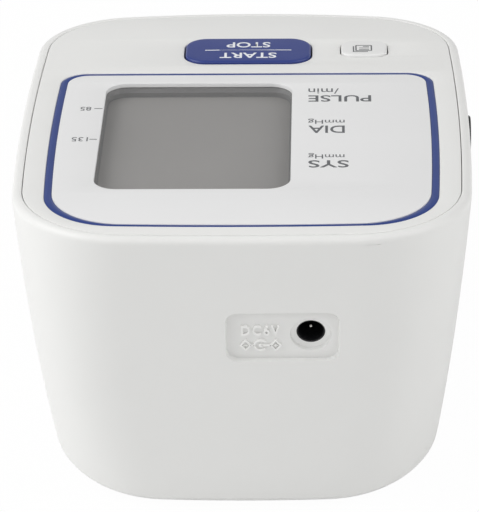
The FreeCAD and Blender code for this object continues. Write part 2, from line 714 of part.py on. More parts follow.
def switch_housing(u, v):
    """Square switch body on the board, with a bore for its actuator."""
    half = SWITCH_SIDE / 2
    top = -BOARD_DEPTH + SWITCH_HEIGHT
    body = box(u - half, u + half, v - half, v + half, -BOARD_DEPTH, top)
    floor = top - ACTUATOR_SINK - BUTTON_TRAVEL - STOP_ROOM
    return in_face(body.cut(rod(ACTUATOR_RADIUS + ACTUATOR_FIT, Vec(u, v, floor), Vec(u, v, 0))))


def switch_actuator(u, v):
    """Round actuator that the button's stem rests on."""
    low = -BOARD_DEPTH + SWITCH_HEIGHT - ACTUATOR_SINK
    return in_face(rod(ACTUATOR_RADIUS, Vec(u, v, low), Vec(u, v, ACTUATOR_TOP)))


# --- board and what sits on it --------------------------------------------------------------------
def circuit_board():
    """Board stepped around the screw posts and notched for the air socket."""
    top, low = -BOARD_DEPTH, -BOARD_DEPTH - BOARD_THICK
    front = box(-BOARD_FRONT_HALF, BOARD_FRONT_HALF, BOARD_FRONT, BOARD_STEP, low, top)
    middle = box(BOARD_NOTCH_U, BOARD_RIGHT, BOARD_STEP, BOARD_NOTCH_REAR, low, top)
    rear = box(BOARD_LEFT, BOARD_RIGHT, BOARD_NOTCH_REAR, BOARD_REAR, low, top)
    board = front.fuse([middle, rear]).removeSplitter()
    holes = [rod(BOARD_SCREW_RADIUS + SCREW_HOLE_FIT, Vec(u, v, low), Vec(u, v, top)) for u, v in BOARD_POSTS]
    return in_face(board.cut(holes))


def under_board(u, v, side, height):
    """Square component under the board."""
    half = side / 2
    top = -BOARD_DEPTH - BOARD_THICK
    return box(u - half, u + half, v - half, v + half, top - height, top)


def pressure_sensor():
    """Sensor under the board with its air nozzle."""
    body = under_board(SENSOR_U, SENSOR_V, SENSOR_SIDE, SENSOR_HEIGHT)
    tip = Vec(SENSOR_U, SENSOR_V, -SENSOR_LOW - NOZZLE_LENGTH)
    base = Vec(SENSOR_U, SENSOR_V, -SENSOR_LOW)
    nozzle, bore = rod(NOZZLE_RADIUS, tip, base), rod(NOZZLE_BORE, tip, base)
    return in_face(body.fuse(nozzle).cut(bore))


def buzzer():
    """Round sounder under the board."""
    top = -BOARD_DEPTH - BOARD_THICK
    low = top - BUZZER_HEIGHT
    return in_face(rod(BUZZER_RADIUS, Vec(BUZZER_U, BUZZER_V, low), Vec(BUZZER_U, BUZZER_V, top)))


def board_screws():
    """Screws that hold the board to the cover's posts."""
    screws = []
    seat = -BOARD_DEPTH - BOARD_THICK
    for u, v in BOARD_POSTS:
        shank = rod(BOARD_SCREW_RADIUS, Vec(u, v, seat), Vec(u, v, seat + BOARD_SCREW_LENGTH))
        head = rod(BOARD_HEAD_RADIUS, Vec(u, v, seat - BOARD_HEAD_HEIGHT), Vec(u, v, seat))
        screws.append(in_face(shank.fuse(head).removeSplitter()))
    return Part.makeCompound(screws)


def case_screws():
    """Screws in the wells of the lower case."""
    screws = []
    for x, y, top in BOSSES:
        seat = top - BOSS_WEB
        shank = rod(SCREW_RADIUS, Vec(x, y, seat), Vec(x, y, seat + SCREW_LENGTH))
        head = rod(SCREW_HEAD_RADIUS, Vec(x, y, seat - SCREW_HEAD_HEIGHT), Vec(x, y, seat))
        low = seat - SCREW_HEAD_HEIGHT
        drive = rod(DRIVE_RADIUS, Vec(x, y, low), Vec(x, y, low + DRIVE_DEPTH))
        screws.append(shank.fuse(head).cut(drive).removeSplitter())
    return Part.makeCompound(screws)


# --- sockets --------------------------------------------------------------------------------------
def dc_body(side_fit=0.0):
    """Block of the DC socket, with room beside and above it when it is cut from the case."""
    half_x, half_z = DC_BODY_WIDTH / 2, DC_BODY_HEIGHT / 2
    return box(DC_X - half_x - side_fit, DC_X + half_x + side_fit, DC_MOUTH_Y - DC_BODY_LENGTH, DC_MOUTH_Y,
               DC_Z - half_z, DC_Z + half_z + side_fit)


def dc_jack():
    """Socket body behind the rear wall, with a blind bore."""
    bore = rod(DC_HOLE_RADIUS, Vec(DC_X, DC_MOUTH_Y - DC_BORE_DEPTH, DC_Z), Vec(DC_X, DC_MOUTH_Y, DC_Z))
    return dc_body().cut(bore)


def dc_contact_pin():
    """Centre pin of the DC socket with a round tip."""
    back = DC_MOUTH_Y - DC_BORE_DEPTH
    tip = DC_MOUTH_Y - DC_PIN_SINK
    pin = rod(DC_PIN_RADIUS, Vec(DC_X, back, DC_Z), Vec(DC_X, tip, DC_Z))
    end = edges_on(pin, lambda p: abs(p.y - tip) < TOUCH)
    return pin.makeFillet(DC_PIN_RADIUS * 0.6, end)


def air_jack():
    """Air socket: collar through the wall, flange inside, barb for the tube."""
    def at(x):
        return Vec(x, AIR_Y, AIR_Z)

    inner_x = AIR_BODY_END_X
    flange_x = inner_x - AIR_FLANGE_THICK
    body = rod(AIR_COLLAR_RADIUS, at(AIR_FACE_X), at(inner_x))
    body = body.fuse(rod(AIR_FLANGE_RADIUS, at(flange_x), at(inner_x)))
    body = body.fuse(rod(NOZZLE_RADIUS, at(inner_x), at(inner_x + NOZZLE_LENGTH)))
    body = body.cut(rod(AIR_BORE_RADIUS, at(AIR_FACE_X), at(AIR_FACE_X + AIR_BORE_LENGTH)))
    body = body.cut(rod(NOZZLE_BORE, at(AIR_FACE_X), at(inner_x + NOZZLE_LENGTH)))
    rim = edges_on(body, lambda p: abs(p.x - AIR_FACE_X) < TOUCH
                   and (p - at(AIR_FACE_X)).Length > AIR_COLLAR_RADIUS - TOUCH)
    return body.makeFillet(0.5, rim)


# --- batteries ------------------------------------------------------------------------------------
def cell_x(index):
    """Centre line of one cell."""
    return (index - (CELL_COUNT - 1) / 2) * CELL_PITCH


def cell_faces_rear(index):
    """Cells lie head to tail; the even ones have their nub at the rear."""
    return index % 2 == 0


def cell(index):
    """One AA cell; its nub touches a plate and its flat end a spring."""
    x = cell_x(index)
    if cell_faces_rear(index):
        tip, way = BAY_REAR - PLATE_THICK, -1
    else:
        tip, way = BAY_FRONT + PLATE_THICK, 1
    shoulder = tip + way * NUB_LENGTH
    nub = rod(NUB_RADIUS, Vec(x, tip, CELL_Z), Vec(x, shoulder, CELL_Z))
    body = rod(CELL_RADIUS, Vec(x, shoulder, CELL_Z), Vec(x, shoulder + way * CELL_LENGTH, CELL_Z))
    return body.fuse(nub)


def battery_plates():
    """Contact plates on the two end walls of the bay."""
    plates = []
    half = CELL_PITCH * 0.42
    for index in range(CELL_COUNT):
        x = cell_x(index)
        for y in (BAY_FRONT, BAY_REAR - PLATE_THICK):
            plates.append(box(x - half, x + half, y, y + PLATE_THICK, CELL_Z - half, CELL_Z + half))
    return Part.makeCompound(plates)


def battery_springs():
    """Contact springs at the flat ends of the cells."""
    springs = []
    for index in range(CELL_COUNT):
        spring = coil(SPRING_RADIUS, SPRING_WIRE, SPRING_LENGTH, SPRING_HALF_TURNS)
        if cell_faces_rear(index):
            turn, y = -90, BAY_FRONT + PLATE_THICK
        else:
            turn, y = 90, BAY_REAR - PLATE_THICK
        rotation = FreeCAD.Rotation(Vec(1, 0, 0), turn)
        seat = FreeCAD.Placement(Vec(cell_x(index), y, CELL_Z), rotation)
        spring.Placement = seat.multiply(spring.Placement)
        springs.append(spring)
    return Part.makeCompound(springs)


def battery_door():
    """Door in the floor: round hinge edge with two pins, latch tab and grip ribs."""
    half = BAY_HALF - DOOR_GAP
    front = BAY_FRONT + DOOR_GAP
    plate = box(-half, half, front, HINGE_Y, BASE_Z, FLOOR_Z)
    knuckle = rod(FLOOR / 2, Vec(-half, HINGE_Y, HINGE_Z), Vec(half, HINGE_Y, HINGE_Z))
    reach = half + DOOR_PIN_LENGTH
    pins = rod(DOOR_PIN_RADIUS, Vec(-reach, HINGE_Y, HINGE_Z), Vec(reach, HINGE_Y, HINGE_Z))
    tab_front = BAY_FRONT - LATCH_REACH
    tab = box(-LATCH_HALF, LATCH_HALF, tab_front, front, BASE_Z, FLOOR_Z)
    latch = box(-LATCH_HALF, LATCH_HALF, tab_front, tab_front + LATCH_THICK, FLOOR_Z, FLOOR_Z + LATCH_HEIGHT)
    door = plate.fuse([knuckle, pins, tab, latch]).removeSplitter()
    grooves = []
    for i in range(GRIP_RIBS):
        y = front + (i + 2) * GRIP_PITCH
        grooves.append(box(-LATCH_HALF, LATCH_HALF, y, y + GRIP_PITCH / 2,
                           BASE_Z - GRIP_DEPTH, BASE_Z + GRIP_DEPTH))
    return door.cut(grooves)


# --- pump -----------------------------------------------------------------------------------------
def pump_at(x, offset=0.0):
    """Point on the pump's axis, or beside it."""
    return Vec(x, PUMP_Y, PUMP_Z + offset)


def pump_motor():
    """Motor can with a bearing bore for the shaft."""
    can = rod(MOTOR_RADIUS, pump_at(MOTOR_END_X), pump_at(HOUSING_X))
    bore_end = pump_at(HOUSING_X - SHAFT_SINK - STOP_ROOM)
    return can.cut(rod(SHAFT_RADIUS + SHAFT_FIT, bore_end, pump_at(HOUSING_X)))


def motor_shaft():
    """Steel shaft from the motor into the crank."""
    return rod(SHAFT_RADIUS, pump_at(HOUSING_X - SHAFT_SINK), pump_at(HOUSING_X + HOUSING_LENGTH / 2))


def pump_crank():
    """Crank on the shaft with its eccentric pin."""
    start = HOUSING_X + STOP_ROOM * 2
    middle = HOUSING_X + HOUSING_LENGTH * 0.6
    end = HOUSING_X + HOUSING_LENGTH - STOP_ROOM * 2
    disc = rod(CRANK_RADIUS, pump_at(start), pump_at(middle))
    pin = rod(CRANK_PIN_RADIUS, pump_at(middle, CRANK_OFFSET), pump_at(end, CRANK_OFFSET))
    return disc.fuse(pin).cut(motor_shaft())


def pump_housing():
    """Cup around the crank."""
    start, end = pump_at(HOUSING_X), pump_at(HOUSING_X + HOUSING_LENGTH)
    return rod(HOUSING_RADIUS, start, end).cut(rod(HOUSING_RADIUS - HOUSING_WALL, start, end))


def pump_diaphragm():
    """Rubber diaphragm between housing and head."""
    x = HOUSING_X + HOUSING_LENGTH
    return rod(HOUSING_RADIUS, pump_at(x), pump_at(x + DIAPHRAGM_THICK))


def pump_head():
    """Valve head with its outlet nozzle."""
    x = HOUSING_X + HOUSING_LENGTH + DIAPHRAGM_THICK
    end = x + HEAD_LENGTH
    head = rod(HOUSING_RADIUS, pump_at(x), pump_at(end))
    head = head.fuse(rod(NOZZLE_RADIUS, pump_at(end), pump_at(end + NOZZLE_LENGTH)))
    return head.cut(rod(NOZZLE_BORE, pump_at(x + HOUSING_WALL), pump_at(end + NOZZLE_LENGTH)))


def pump_cushion():
    """Rubber sleeve around the motor."""
    middle = MOTOR_END_X + MOTOR_LENGTH / 2
    start, end = pump_at(middle - CUSHION_LENGTH / 2), pump_at(middle + CUSHION_LENGTH / 2)
    return rod(CUSHION_RADIUS, start, end).cut(rod(MOTOR_RADIUS, start, end))


def pump_strap():
    """Half-round strap over the cushion, with ears on the cradle ribs."""
    middle = MOTOR_END_X + MOTOR_LENGTH / 2
    reach = CRADLE_PITCH / 2 + CRADLE_THICK / 2
    half = CRADLE_RADIUS + STRAP_EAR
    start, end = pump_at(middle - reach), pump_at(middle + reach)
    band = rod(CRADLE_RADIUS + STRAP_THICK, start, end)
    ears = box(middle - reach, middle + reach, PUMP_Y - half, PUMP_Y + half, PUMP_Z, PUMP_Z + STRAP_THICK)
    above = box(-BIG, BIG, -BIG, BIG, PUMP_Z, BIG)
    return band.common(above).fuse(ears).cut(rod(CRADLE_RADIUS, start, end)).removeSplitter()


# --- valves and air way ---------------------------------------------------------------------------
def valve_at(z):
    """Point on the exhaust valve's axis."""
    return Vec(VALVE_X, VALVE_Y, z)


def valve_body():
    """Solenoid body on the floor with the bore of its plunger."""
    body = rod(VALVE_RADIUS, valve_at(FLOOR_Z), valve_at(VALVE_TOP))
    return body.cut(rod(PLUNGER_RADIUS + PLUNGER_FIT, valve_at(VALVE_BORE_Z), valve_at(VALVE_TOP)))


def valve_plunger():
    """Plunger that shuts the exhaust port from below."""
    return rod(PLUNGER_RADIUS, valve_at(PLUNGER_LOW), valve_at(PLUNGER_TOP))


def valve_spring():
    """Spring that lifts the plunger to its seat."""
    length = PLUNGER_LOW - VALVE_BORE_Z - 2 * LEAD_END_GAP
    spring = coil(PLUNGER_RADIUS - PLUNGER_FIT * 3, VALVE_SPRING_WIRE, length, VALVE_SPRING_HALF_TURNS)
    return spring.translated(valve_at(VALVE_BORE_Z + LEAD_END_GAP))


def valve_cap():
    """Cap with the air nozzle of the exhaust valve."""
    top = VALVE_TOP + VALVE_CAP_THICK
    cap = rod(VALVE_RADIUS, valve_at(VALVE_TOP), valve_at(top))
    cap = cap.fuse(rod(NOZZLE_RADIUS, valve_at(top), valve_at(top + NOZZLE_LENGTH)))
    return cap.cut(rod(NOZZLE_BORE, valve_at(VALVE_TOP), valve_at(top + NOZZLE_LENGTH)))


def air_manifold():
    """Block on the bay's roof with two side nozzles and two upper ones."""
    half_x, half_y = MANIFOLD_LENGTH / 2, MANIFOLD_DEPTH / 2
    top = BAY_TOP + MANIFOLD_HEIGHT
    block = box(MANIFOLD_X - half_x, MANIFOLD_X + half_x, MANIFOLD_Y - half_y, MANIFOLD_Y + half_y,
                BAY_TOP, top)
    middle = Vec(MANIFOLD_X, MANIFOLD_Y, MANIFOLD_Z)
    reach = Vec(half_x + NOZZLE_LENGTH, 0, 0)
    block = block.fuse(rod(NOZZLE_RADIUS, middle - reach, middle + reach))
    bores = [rod(NOZZLE_BORE, middle - reach, middle + reach)]
    for side in (-1, 1):
        x = MANIFOLD_X + side * MANIFOLD_PORT_X
        tip = Vec(x, MANIFOLD_Y, top + NOZZLE_LENGTH)
        block = block.fuse(rod(NOZZLE_RADIUS, Vec(x, MANIFOLD_Y, top), tip))
        bores.append(rod(NOZZLE_BORE, Vec(x, MANIFOLD_Y, MANIFOLD_Z), tip))
    return block.cut(bores)


def leak_valve():
    """Slow leak valve at the front of the manifold."""
    front = MANIFOLD_Y - MANIFOLD_DEPTH / 2
    tip = Vec(MANIFOLD_X, front - LEAK_LENGTH, MANIFOLD_Z)
    return rod(LEAK_RADIUS, tip, Vec(MANIFOLD_X, front, MANIFOLD_Z))


def pump_tube():
    """Tube from the pump head round to the manifold."""
    head_end = HOUSING_X + HOUSING_LENGTH + DIAPHRAGM_THICK + HEAD_LENGTH
    port = Vec(MANIFOLD_X + MANIFOLD_LENGTH / 2, MANIFOLD_Y, MANIFOLD_Z)
    return tube([pump_at(head_end), Vec(PUMP_TUBE_X, PUMP_Y, PUMP_Z), Vec(PUMP_TUBE_X, port.y, port.z), port])


def valve_tube():
    """Tube from the exhaust valve over to the manifold."""
    port = Vec(MANIFOLD_X + MANIFOLD_PORT_X, MANIFOLD_Y, BAY_TOP + MANIFOLD_HEIGHT)
    return tube([valve_at(VALVE_TOP + VALVE_CAP_THICK), valve_at(VALVE_TUBE_TOP),
                 Vec(port.x, port.y, VALVE_TUBE_TOP), port])


def sensor_tube():
    """Tube from the pressure sensor down to the manifold."""
    port = Vec(MANIFOLD_X - MANIFOLD_PORT_X, MANIFOLD_Y, BAY_TOP + MANIFOLD_HEIGHT)
    nozzle = face_point(SENSOR_U, SENSOR_V, -SENSOR_LOW)
    drop = face_point(SENSOR_U, SENSOR_V, -SENSOR_LOW - NOZZLE_LENGTH - TUBE_BEND_ROOM)
    return tube([nozzle, drop, Vec(port.x, port.y, drop.z), port])


def jack_tube():
    """Tube from the air socket down to the manifold."""
    port = Vec(MANIFOLD_X - MANIFOLD_LENGTH / 2, MANIFOLD_Y, MANIFOLD_Z)
    start = Vec(AIR_BODY_END_X, AIR_Y, AIR_Z)
    return tube([start, Vec(JACK_TUBE_X, AIR_Y, AIR_Z), Vec(JACK_TUBE_X, port.y, port.z), port])


# --- leads, feet ----------------------------------------------------------------------------------
def board_above(x, y):
    """Point on the board's underside, less the solder gap."""
    depth = BOARD_DEPTH + BOARD_THICK
    return Vec(x, y, FACE_Z + y * math.tan(TILT) - depth / math.cos(TILT) - LEAD_END_GAP * 2)


def leads(routes):
    """Thin leads, one along each route."""
    return Part.makeCompound([swept(route, LEAD_BEND, LEAD_RADIUS) for route in routes])


def lead_offsets():
    """The two leads of a pair lie side by side."""
    return -LEAD_SPACING / 2, LEAD_SPACING / 2


def motor_leads():
    """Leads from the motor's end up to the board."""
    x = (MOTOR_END_X + BOARD_LEFT) / 2
    routes = []
    for shift in lead_offsets():
        y = PUMP_Y + shift
        routes.append([Vec(MOTOR_END_X - LEAD_END_GAP, y, PUMP_Z), Vec(x, y, PUMP_Z), board_above(x, y)])
    return leads(routes)


def battery_leads():
    """Leads from the bay's rear wall up to the board."""
    y = BAY_REAR + BAY_WALL
    rise = y + LEAD_BEND * 1.5
    routes = []
    for shift in lead_offsets():
        x = CELL_PITCH / 2 + shift
        routes.append([Vec(x, y, CELL_Z), Vec(x, rise, CELL_Z), board_above(x, rise)])
    return leads(routes)


def dc_leads():
    """Leads from the back of the DC socket up to the board."""
    y = DC_MOUTH_Y - DC_BODY_LENGTH
    rise = y - LEAD_BEND * 3
    routes = []
    for shift in lead_offsets():
        x = DC_X + shift
        routes.append([Vec(x, y - LEAD_END_GAP, DC_Z), Vec(x, rise, DC_Z), board_above(x, rise)])
    return leads(routes)


def rubber_foot(x, y):
    """Round foot in its pocket."""
    foot = rod(FOOT_RADIUS - PANEL_FIT, Vec(x, y, 0), Vec(x, y, BASE_Z + FOOT_SINK))
    return foot.makeFillet(FOOT_HEIGHT / 2, edges_on(foot, lambda p: abs(p.z) < TOUCH))


# --- nodes ----------------------------------------------------------------------------------------
PARTS = {
    "lower_case": lower_case(),
    "top_cover": top_cover(),
    "display_panel": display_panel(),
    "trim_ring": trim_ring(),
    "display_window": display_window(),
    "lcd_glass": lcd_glass(),
    "lcd_frame": lcd_frame(),
    "lcd_strip_left": lcd_strip(-1),
    "lcd_strip_right": lcd_strip(1),
    "circuit_board": circuit_board(),
    "board_screws": board_screws(),
    "processor": in_face(under_board(CHIP_U, CHIP_V, CHIP_SIDE, CHIP_HEIGHT)),
    "buzzer": buzzer(),
    "pressure_sensor": pressure_sensor(),
    "start_stop_button": button(*start_size()),
    "start_switch_housing": switch_housing(START_U, START_V),
    "start_switch_actuator": switch_actuator(START_U, START_V),
    "memory_button": button(*memory_size()),
    "memory_switch_housing": switch_housing(MEMORY_U, MEMORY_V),
    "memory_switch_actuator": switch_actuator(MEMORY_U, MEMORY_V),
    "dc_jack": dc_jack(),
    "dc_contact_pin": dc_contact_pin(),
    "air_jack": air_jack(),
    "battery_door": battery_door(),
    "battery_plates": battery_plates(),
    "battery_springs": battery_springs(),
    "pump_motor": pump_motor(),
    "motor_shaft": motor_shaft(),
    "pump_crank": pump_crank(),
    "pump_housing": pump_housing(),
    "pump_diaphragm": pump_diaphragm(),
    "pump_head": pump_head(),
    "pump_cushion": pump_cushion(),
    "pump_strap": pump_strap(),
    "valve_body": valve_body(),
    "valve_plunger": valve_plunger(),
    "valve_spring": valve_spring(),
    "valve_cap": valve_cap(),
    "air_manifold": air_manifold(),
    "leak_valve": leak_valve(),
    "pump_tube": pump_tube(),
    "valve_tube": valve_tube(),
    "sensor_tube": sensor_tube(),
    "jack_tube": jack_tube(),
    "motor_leads": motor_leads(),
    "battery_leads": battery_leads(),
    "dc_leads": dc_leads(),
    "case_screws": case_screws(),
}
for number in range(CELL_COUNT):
    PARTS[f"aa_cell_{number + 1}"] = cell(number)
for number, (foot_x, foot_y) in enumerate(FEET):
    PARTS[f"rubber_foot_{number + 1}"] = rubber_foot(foot_x, foot_y)

for name, shape in PARTS.items():
    shape.exportStep(f"parts/{name}.step")
    print(f"{name:24s} solids {len(shape.Solids)}  volume {shape.Volume:10.1f}  valid {shape.isValid()}")
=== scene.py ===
import logging
import math
from dataclasses import dataclass, field, replace
from enum import Enum

import bmesh
import bpy
import numpy as np
from bpy.types import Material, Mesh, NodeSocket, NodeTree
from mathutils import Matrix, Vector


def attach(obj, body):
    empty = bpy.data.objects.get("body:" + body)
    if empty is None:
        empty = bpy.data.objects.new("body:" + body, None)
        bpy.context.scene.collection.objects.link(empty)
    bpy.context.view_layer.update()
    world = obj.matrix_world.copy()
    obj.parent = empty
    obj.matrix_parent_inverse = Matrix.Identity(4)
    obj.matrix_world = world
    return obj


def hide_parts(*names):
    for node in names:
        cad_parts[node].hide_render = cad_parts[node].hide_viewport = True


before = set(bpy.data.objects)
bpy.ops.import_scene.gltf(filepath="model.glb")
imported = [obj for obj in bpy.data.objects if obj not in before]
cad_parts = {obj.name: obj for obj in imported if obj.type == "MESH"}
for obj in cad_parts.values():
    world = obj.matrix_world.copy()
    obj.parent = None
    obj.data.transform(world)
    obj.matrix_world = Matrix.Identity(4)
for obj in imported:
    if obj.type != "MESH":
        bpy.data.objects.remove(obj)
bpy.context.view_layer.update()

MM = 0.001                      # every size below is in millimetres until it becomes a mesh
TILT = math.radians(14.5)       # slope of the face towards the user
FACE_Z = 63.3185                # height of the face above the origin
BASE_Z = 1.0                    # height of the underside
REAR_Y = 55.0                   # what lies behind this belongs to the rear wall
SCATTER = 0.6                   # how far light wanders inside a soft plastic
SOCKET_Z = 52.3185              # height of the power socket
AIR_SOCKET = (-10.4, 49.7985)   # y and z of the air socket's axis
CLOSE = 0.0008                  # points closer than this become one
THIN = 0.0005                   # edges shorter than this are dissolved
TYPE_SIZE = 0.01                # m, size that letters are set in before they are fitted
WHITE = (1.0, 1.0, 1.0, 1.0)
WINDOW = (11.05, 9.7, 43.5, 60.7, 5.2)      # display opening: middle, width, length, corner radius
LOG = logging.getLogger("monitor")
Array = np.ndarray


class Body(Enum):
    """Moving groups of the monitor."""

    CASE = "case"
    START = "start_button"
    MEMORY = "memory_key"
    DOOR = "door"
    ROTOR = "pump_rotor"
    PLUNGER = "exhaust_plunger"


# --- colours and nodes ----------------------------------------------------------------------------
def linear(code: str) -> tuple[float, float, float, float]:
    """Turn an sRGB hex colour into linear light.

    Args:
        code: Six hex digits, with or without a leading hash.

    Returns:
        Red, green, blue and an alpha of 1.
    """
    digits = code.lstrip("#")
    value = np.array([int(digits[i:i + 2], 16) for i in (0, 2, 4)]) / 255
    light = np.where(value <= 0.04045, value / 12.92, ((value + 0.055) / 1.055) ** 2.4)
    return (*map(float, light), 1.0)


def add_node(tree: NodeTree, kind: str, settings: dict | None = None,
             links: dict | None = None) -> bpy.types.Node:
    """Add one node with its settings and its incoming links.

    Args:
        tree: Node tree that takes the node.
        kind: Class name of the node.
        settings: Attribute names, socket names or socket numbers with their values.
        links: Socket names or numbers with the output sockets that feed them.

    Returns:
        The new node.
    """
    made = tree.nodes.new(kind)
    for key, value in (settings or {}).items():
        if isinstance(key, str) and hasattr(made, key):
            setattr(made, key, value)
        else:
            made.inputs[key].default_value = value
    for key, source in (links or {}).items():
        tree.links.new(source, made.inputs[key])
    return made


def shader_material(name: str) -> tuple[Material, bpy.types.Node]:
    """New material with its principled shader.

    Args:
        name: Name of the material.

    Returns:
        The material and its shader node.
    """
    made = bpy.data.materials.new(name)
    made.use_nodes = True
    return made, made.node_tree.nodes["Principled BSDF"]


def blend(tree: NodeTree, share: NodeSocket, first: NodeSocket, second: NodeSocket,
          output: str = "") -> NodeSocket:
    """Mix two shaders by a share.

    Args:
        tree: Node tree that takes the node.
        share: Share of the second shader.
        first: First shader.
        second: Second shader.
        output: Output node that shows the mix, if any.

    Returns:
        The mixed shader.
    """
    made = add_node(tree, "ShaderNodeMixShader", {}, {0: share, 1: first, 2: second}).outputs["Shader"]
    if output:
        tree.links.new(made, tree.nodes[output].inputs["Surface"])
    return made


MADE: dict[str, Material] = {}


@dataclass(frozen=True)
class Finish:
    """A surface: what it is made of, how it was made and what that gives the eye."""

    name: str
    colour: str
    tint: str                   # second colour of the slow mottling
    roughness: float
    spread: float = 0.05        # how far the roughness wanders either way
    grain: float = 0.35         # mm, size of the fine texture
    relief: float = 0.006       # mm, height of the fine texture
    cloud: float = 18.0         # mm, size of the slow mottling
    metallic: float = 0.0
    ior: float = 1.5
    coat: float = 0.0
    subsurface: float = 0.0
    stretch: tuple[float, float, float] = (1.0, 1.0, 1.0)

    def material(self) -> Material:
        """Build the material once and hand it out again afterwards.

        Returns:
            The material of this finish.
        """
        if self.name not in MADE:
            MADE[self.name] = self.build()
        return MADE[self.name]

    def cover(self, mesh: Mesh) -> None:
        """Make this the only material of a mesh."""
        mesh.materials.clear()
        mesh.materials.append(self.material())

    def build(self) -> Material:
        """Colour and roughness follow slow noise, the bump follows the grain.

        Returns:
            A new material.
        """
        made, shader = shader_material(self.name)
        tree = made.node_tree
        fixed = {"Metallic": self.metallic, "IOR": self.ior, "Coat Weight": self.coat,
                 "Subsurface Weight": self.subsurface, "Subsurface Radius": (1.0, 1.0, 1.0),
                 "Subsurface Scale": SCATTER * MM}
        for key, value in fixed.items():
            shader.inputs[key].default_value = value
        place = add_node(tree, "ShaderNodeTexCoord")
        stretched = add_node(tree, "ShaderNodeMapping", {"Scale": self.stretch},
                             {"Vector": place.outputs["Object"]})
        slow, fine = (add_node(tree, "ShaderNodeTexNoise", {"Scale": 1 / (size * MM), "Detail": detail},
                               {"Vector": stretched.outputs["Vector"]})
                      for size, detail in ((self.cloud, 3.0), (self.grain, 2.0)))
        paint = add_node(tree, "ShaderNodeMix",
                         {"data_type": "RGBA", 6: linear(self.colour), 7: linear(self.tint)},
                         {0: slow.outputs["Fac"]})
        gloss = add_node(tree, "ShaderNodeMapRange",
                         {"To Min": self.roughness - self.spread, "To Max": self.roughness + self.spread},
                         {"Value": fine.outputs["Fac"]})
        bump = add_node(tree, "ShaderNodeBump", {"Strength": 1.0, "Distance": self.relief * MM},
                        {"Height": fine.outputs["Fac"]})
        for key, source in (("Base Color", paint.outputs[2]), ("Roughness", gloss.outputs["Result"]),
                            ("Normal", bump.outputs["Normal"])):
            tree.links.new(source, shader.inputs[key])
        return made


@dataclass(frozen=True)
class ClearFinish(Finish):
    """A thin clear sheet: light passes straight through, less what its surface reflects."""

    def build(self) -> Material:
        """Mix the tinted passage of light with a gloss by the Fresnel share.

        Returns:
            A new material.
        """
        made = super().build()
        tree = made.node_tree
        shader = tree.nodes["Principled BSDF"]
        paint, gloss, bump = (shader.inputs[key].links[0].from_socket
                              for key in ("Base Color", "Roughness", "Normal"))
        clear = add_node(tree, "ShaderNodeBsdfTransparent", {}, {"Color": paint})
        sheen = add_node(tree, "ShaderNodeBsdfGlossy", {}, {"Roughness": gloss, "Normal": bump})
        mirror = add_node(tree, "ShaderNodeFresnel", {"IOR": self.ior}, {"Normal": bump})
        side = add_node(tree, "ShaderNodeNewGeometry")
        share = add_node(tree, "ShaderNodeMath", {"operation": "SUBTRACT", "use_clamp": True},
                         {0: mirror.outputs["Fac"], 1: side.outputs["Backfacing"]})
        tree.nodes.remove(shader)
        blend(tree, share.outputs["Value"], clear.outputs["BSDF"], sheen.outputs["BSDF"], "Material Output")
        return made


# ABS, moulded against a lightly spark-eroded tool: warm white with a soft, even sheen.
CASE_ABS = Finish("abs_moulded_satin_white", "#ebebe9", "#e8e8e6", 0.42, grain=0.30, relief=0.004)
# ABS, moulded against the polished ground of engraved signs: smoother than the case, and painted a lighter
# white than the case as a painted highlight on the raised signs.
SIGN_ABS_PAINTED_LIGHT = Finish("abs_polished_white_painted_highlight", "#fafaf8", "#f0f0ee", 0.25, 0.04, 0.3, 0.001)
# Polycarbonate sheet, screen printed white: cooler and a little smoother than the case.
PANEL_SHEET = Finish("polycarbonate_printed_white", "#ebebeb", "#e8e8e8", 0.30, 0.03, 0.5, 0.0015)
# Printed band under a clear lacquer: deep blue with a gloss line along its middle.
RING_LACQUER = Finish("lacquered_band_blue", "#203c85", "#1d377b", 0.30, 0.04, 0.4, 0.002, 9.0)
# ABS, moulded in blue with a fine satin texture.
BUTTON_BLUE = Finish("abs_moulded_satin_blue", "#2b3d84", "#27387c", 0.36, 0.05, 0.3, 0.004, 7.0)
# ABS, moulded in the case's white.
BUTTON_WHITE = Finish("abs_moulded_key_white", "#e9e9e8", "#e6e6e5", 0.38, 0.05, 0.3, 0.003)
# Acrylic sheet, cast: clear with a hard gloss that grows at grazing angles.
WINDOW_CLEAR = ClearFinish("acrylic_cast_clear", "#fcfcfc", "#f9f9f9", 0.05, 0.02, 0.8, 0.0003, 25.0,
                           ior=1.49)
# Polariser over the glass of the display: neutral grey and matt.
LCD_FILM = Finish("polariser_film_grey", "#a6a4a2", "#a3a19f", 0.45, 0.04, 0.25, 0.002, 22.0)
# Glass of the display under its film.
LCD_GLASS = Finish("display_glass_ground", "#7f807b", "#797a76", 0.30, 0.04, 0.4, 0.002)
# ABS, moulded in mid grey around the display.
FRAME_ABS = Finish("abs_moulded_mid_grey", "#858585", "#7e7e7e", 0.50, 0.05, 0.3, 0.005)
# Pad-printed ink: matt, dark grey.
INK_GREY = Finish("printed_ink_grey", "#66686b", "#606265", 0.55, 0.05, 0.12, 0.001, 4.0)
# Pad-printed ink: matt, white.
INK_WHITE = Finish("printed_ink_white", "#eef0f2", "#e6e8ec", 0.50, 0.05, 0.12, 0.001, 4.0)
# Black PBT of the power socket, moulded.
SOCKET_PBT = Finish("pbt_moulded_black", "#17171a", "#1d1d20", 0.45, 0.06, 0.25, 0.006, 6.0)
# Nickel plate, bright.
NICKEL = Finish("nickel_plate_bright", "#c9c6c0", "#bfbcb6", 0.22, 0.06, 0.2, 0.001, 3.0, metallic=1.0)
# Steel, zinc plated and passivated.
STEEL = Finish("steel_zinc_plated", "#b4b6b8", "#a6a8ac", 0.34, 0.08, 0.15, 0.002, 3.0, metallic=1.0)
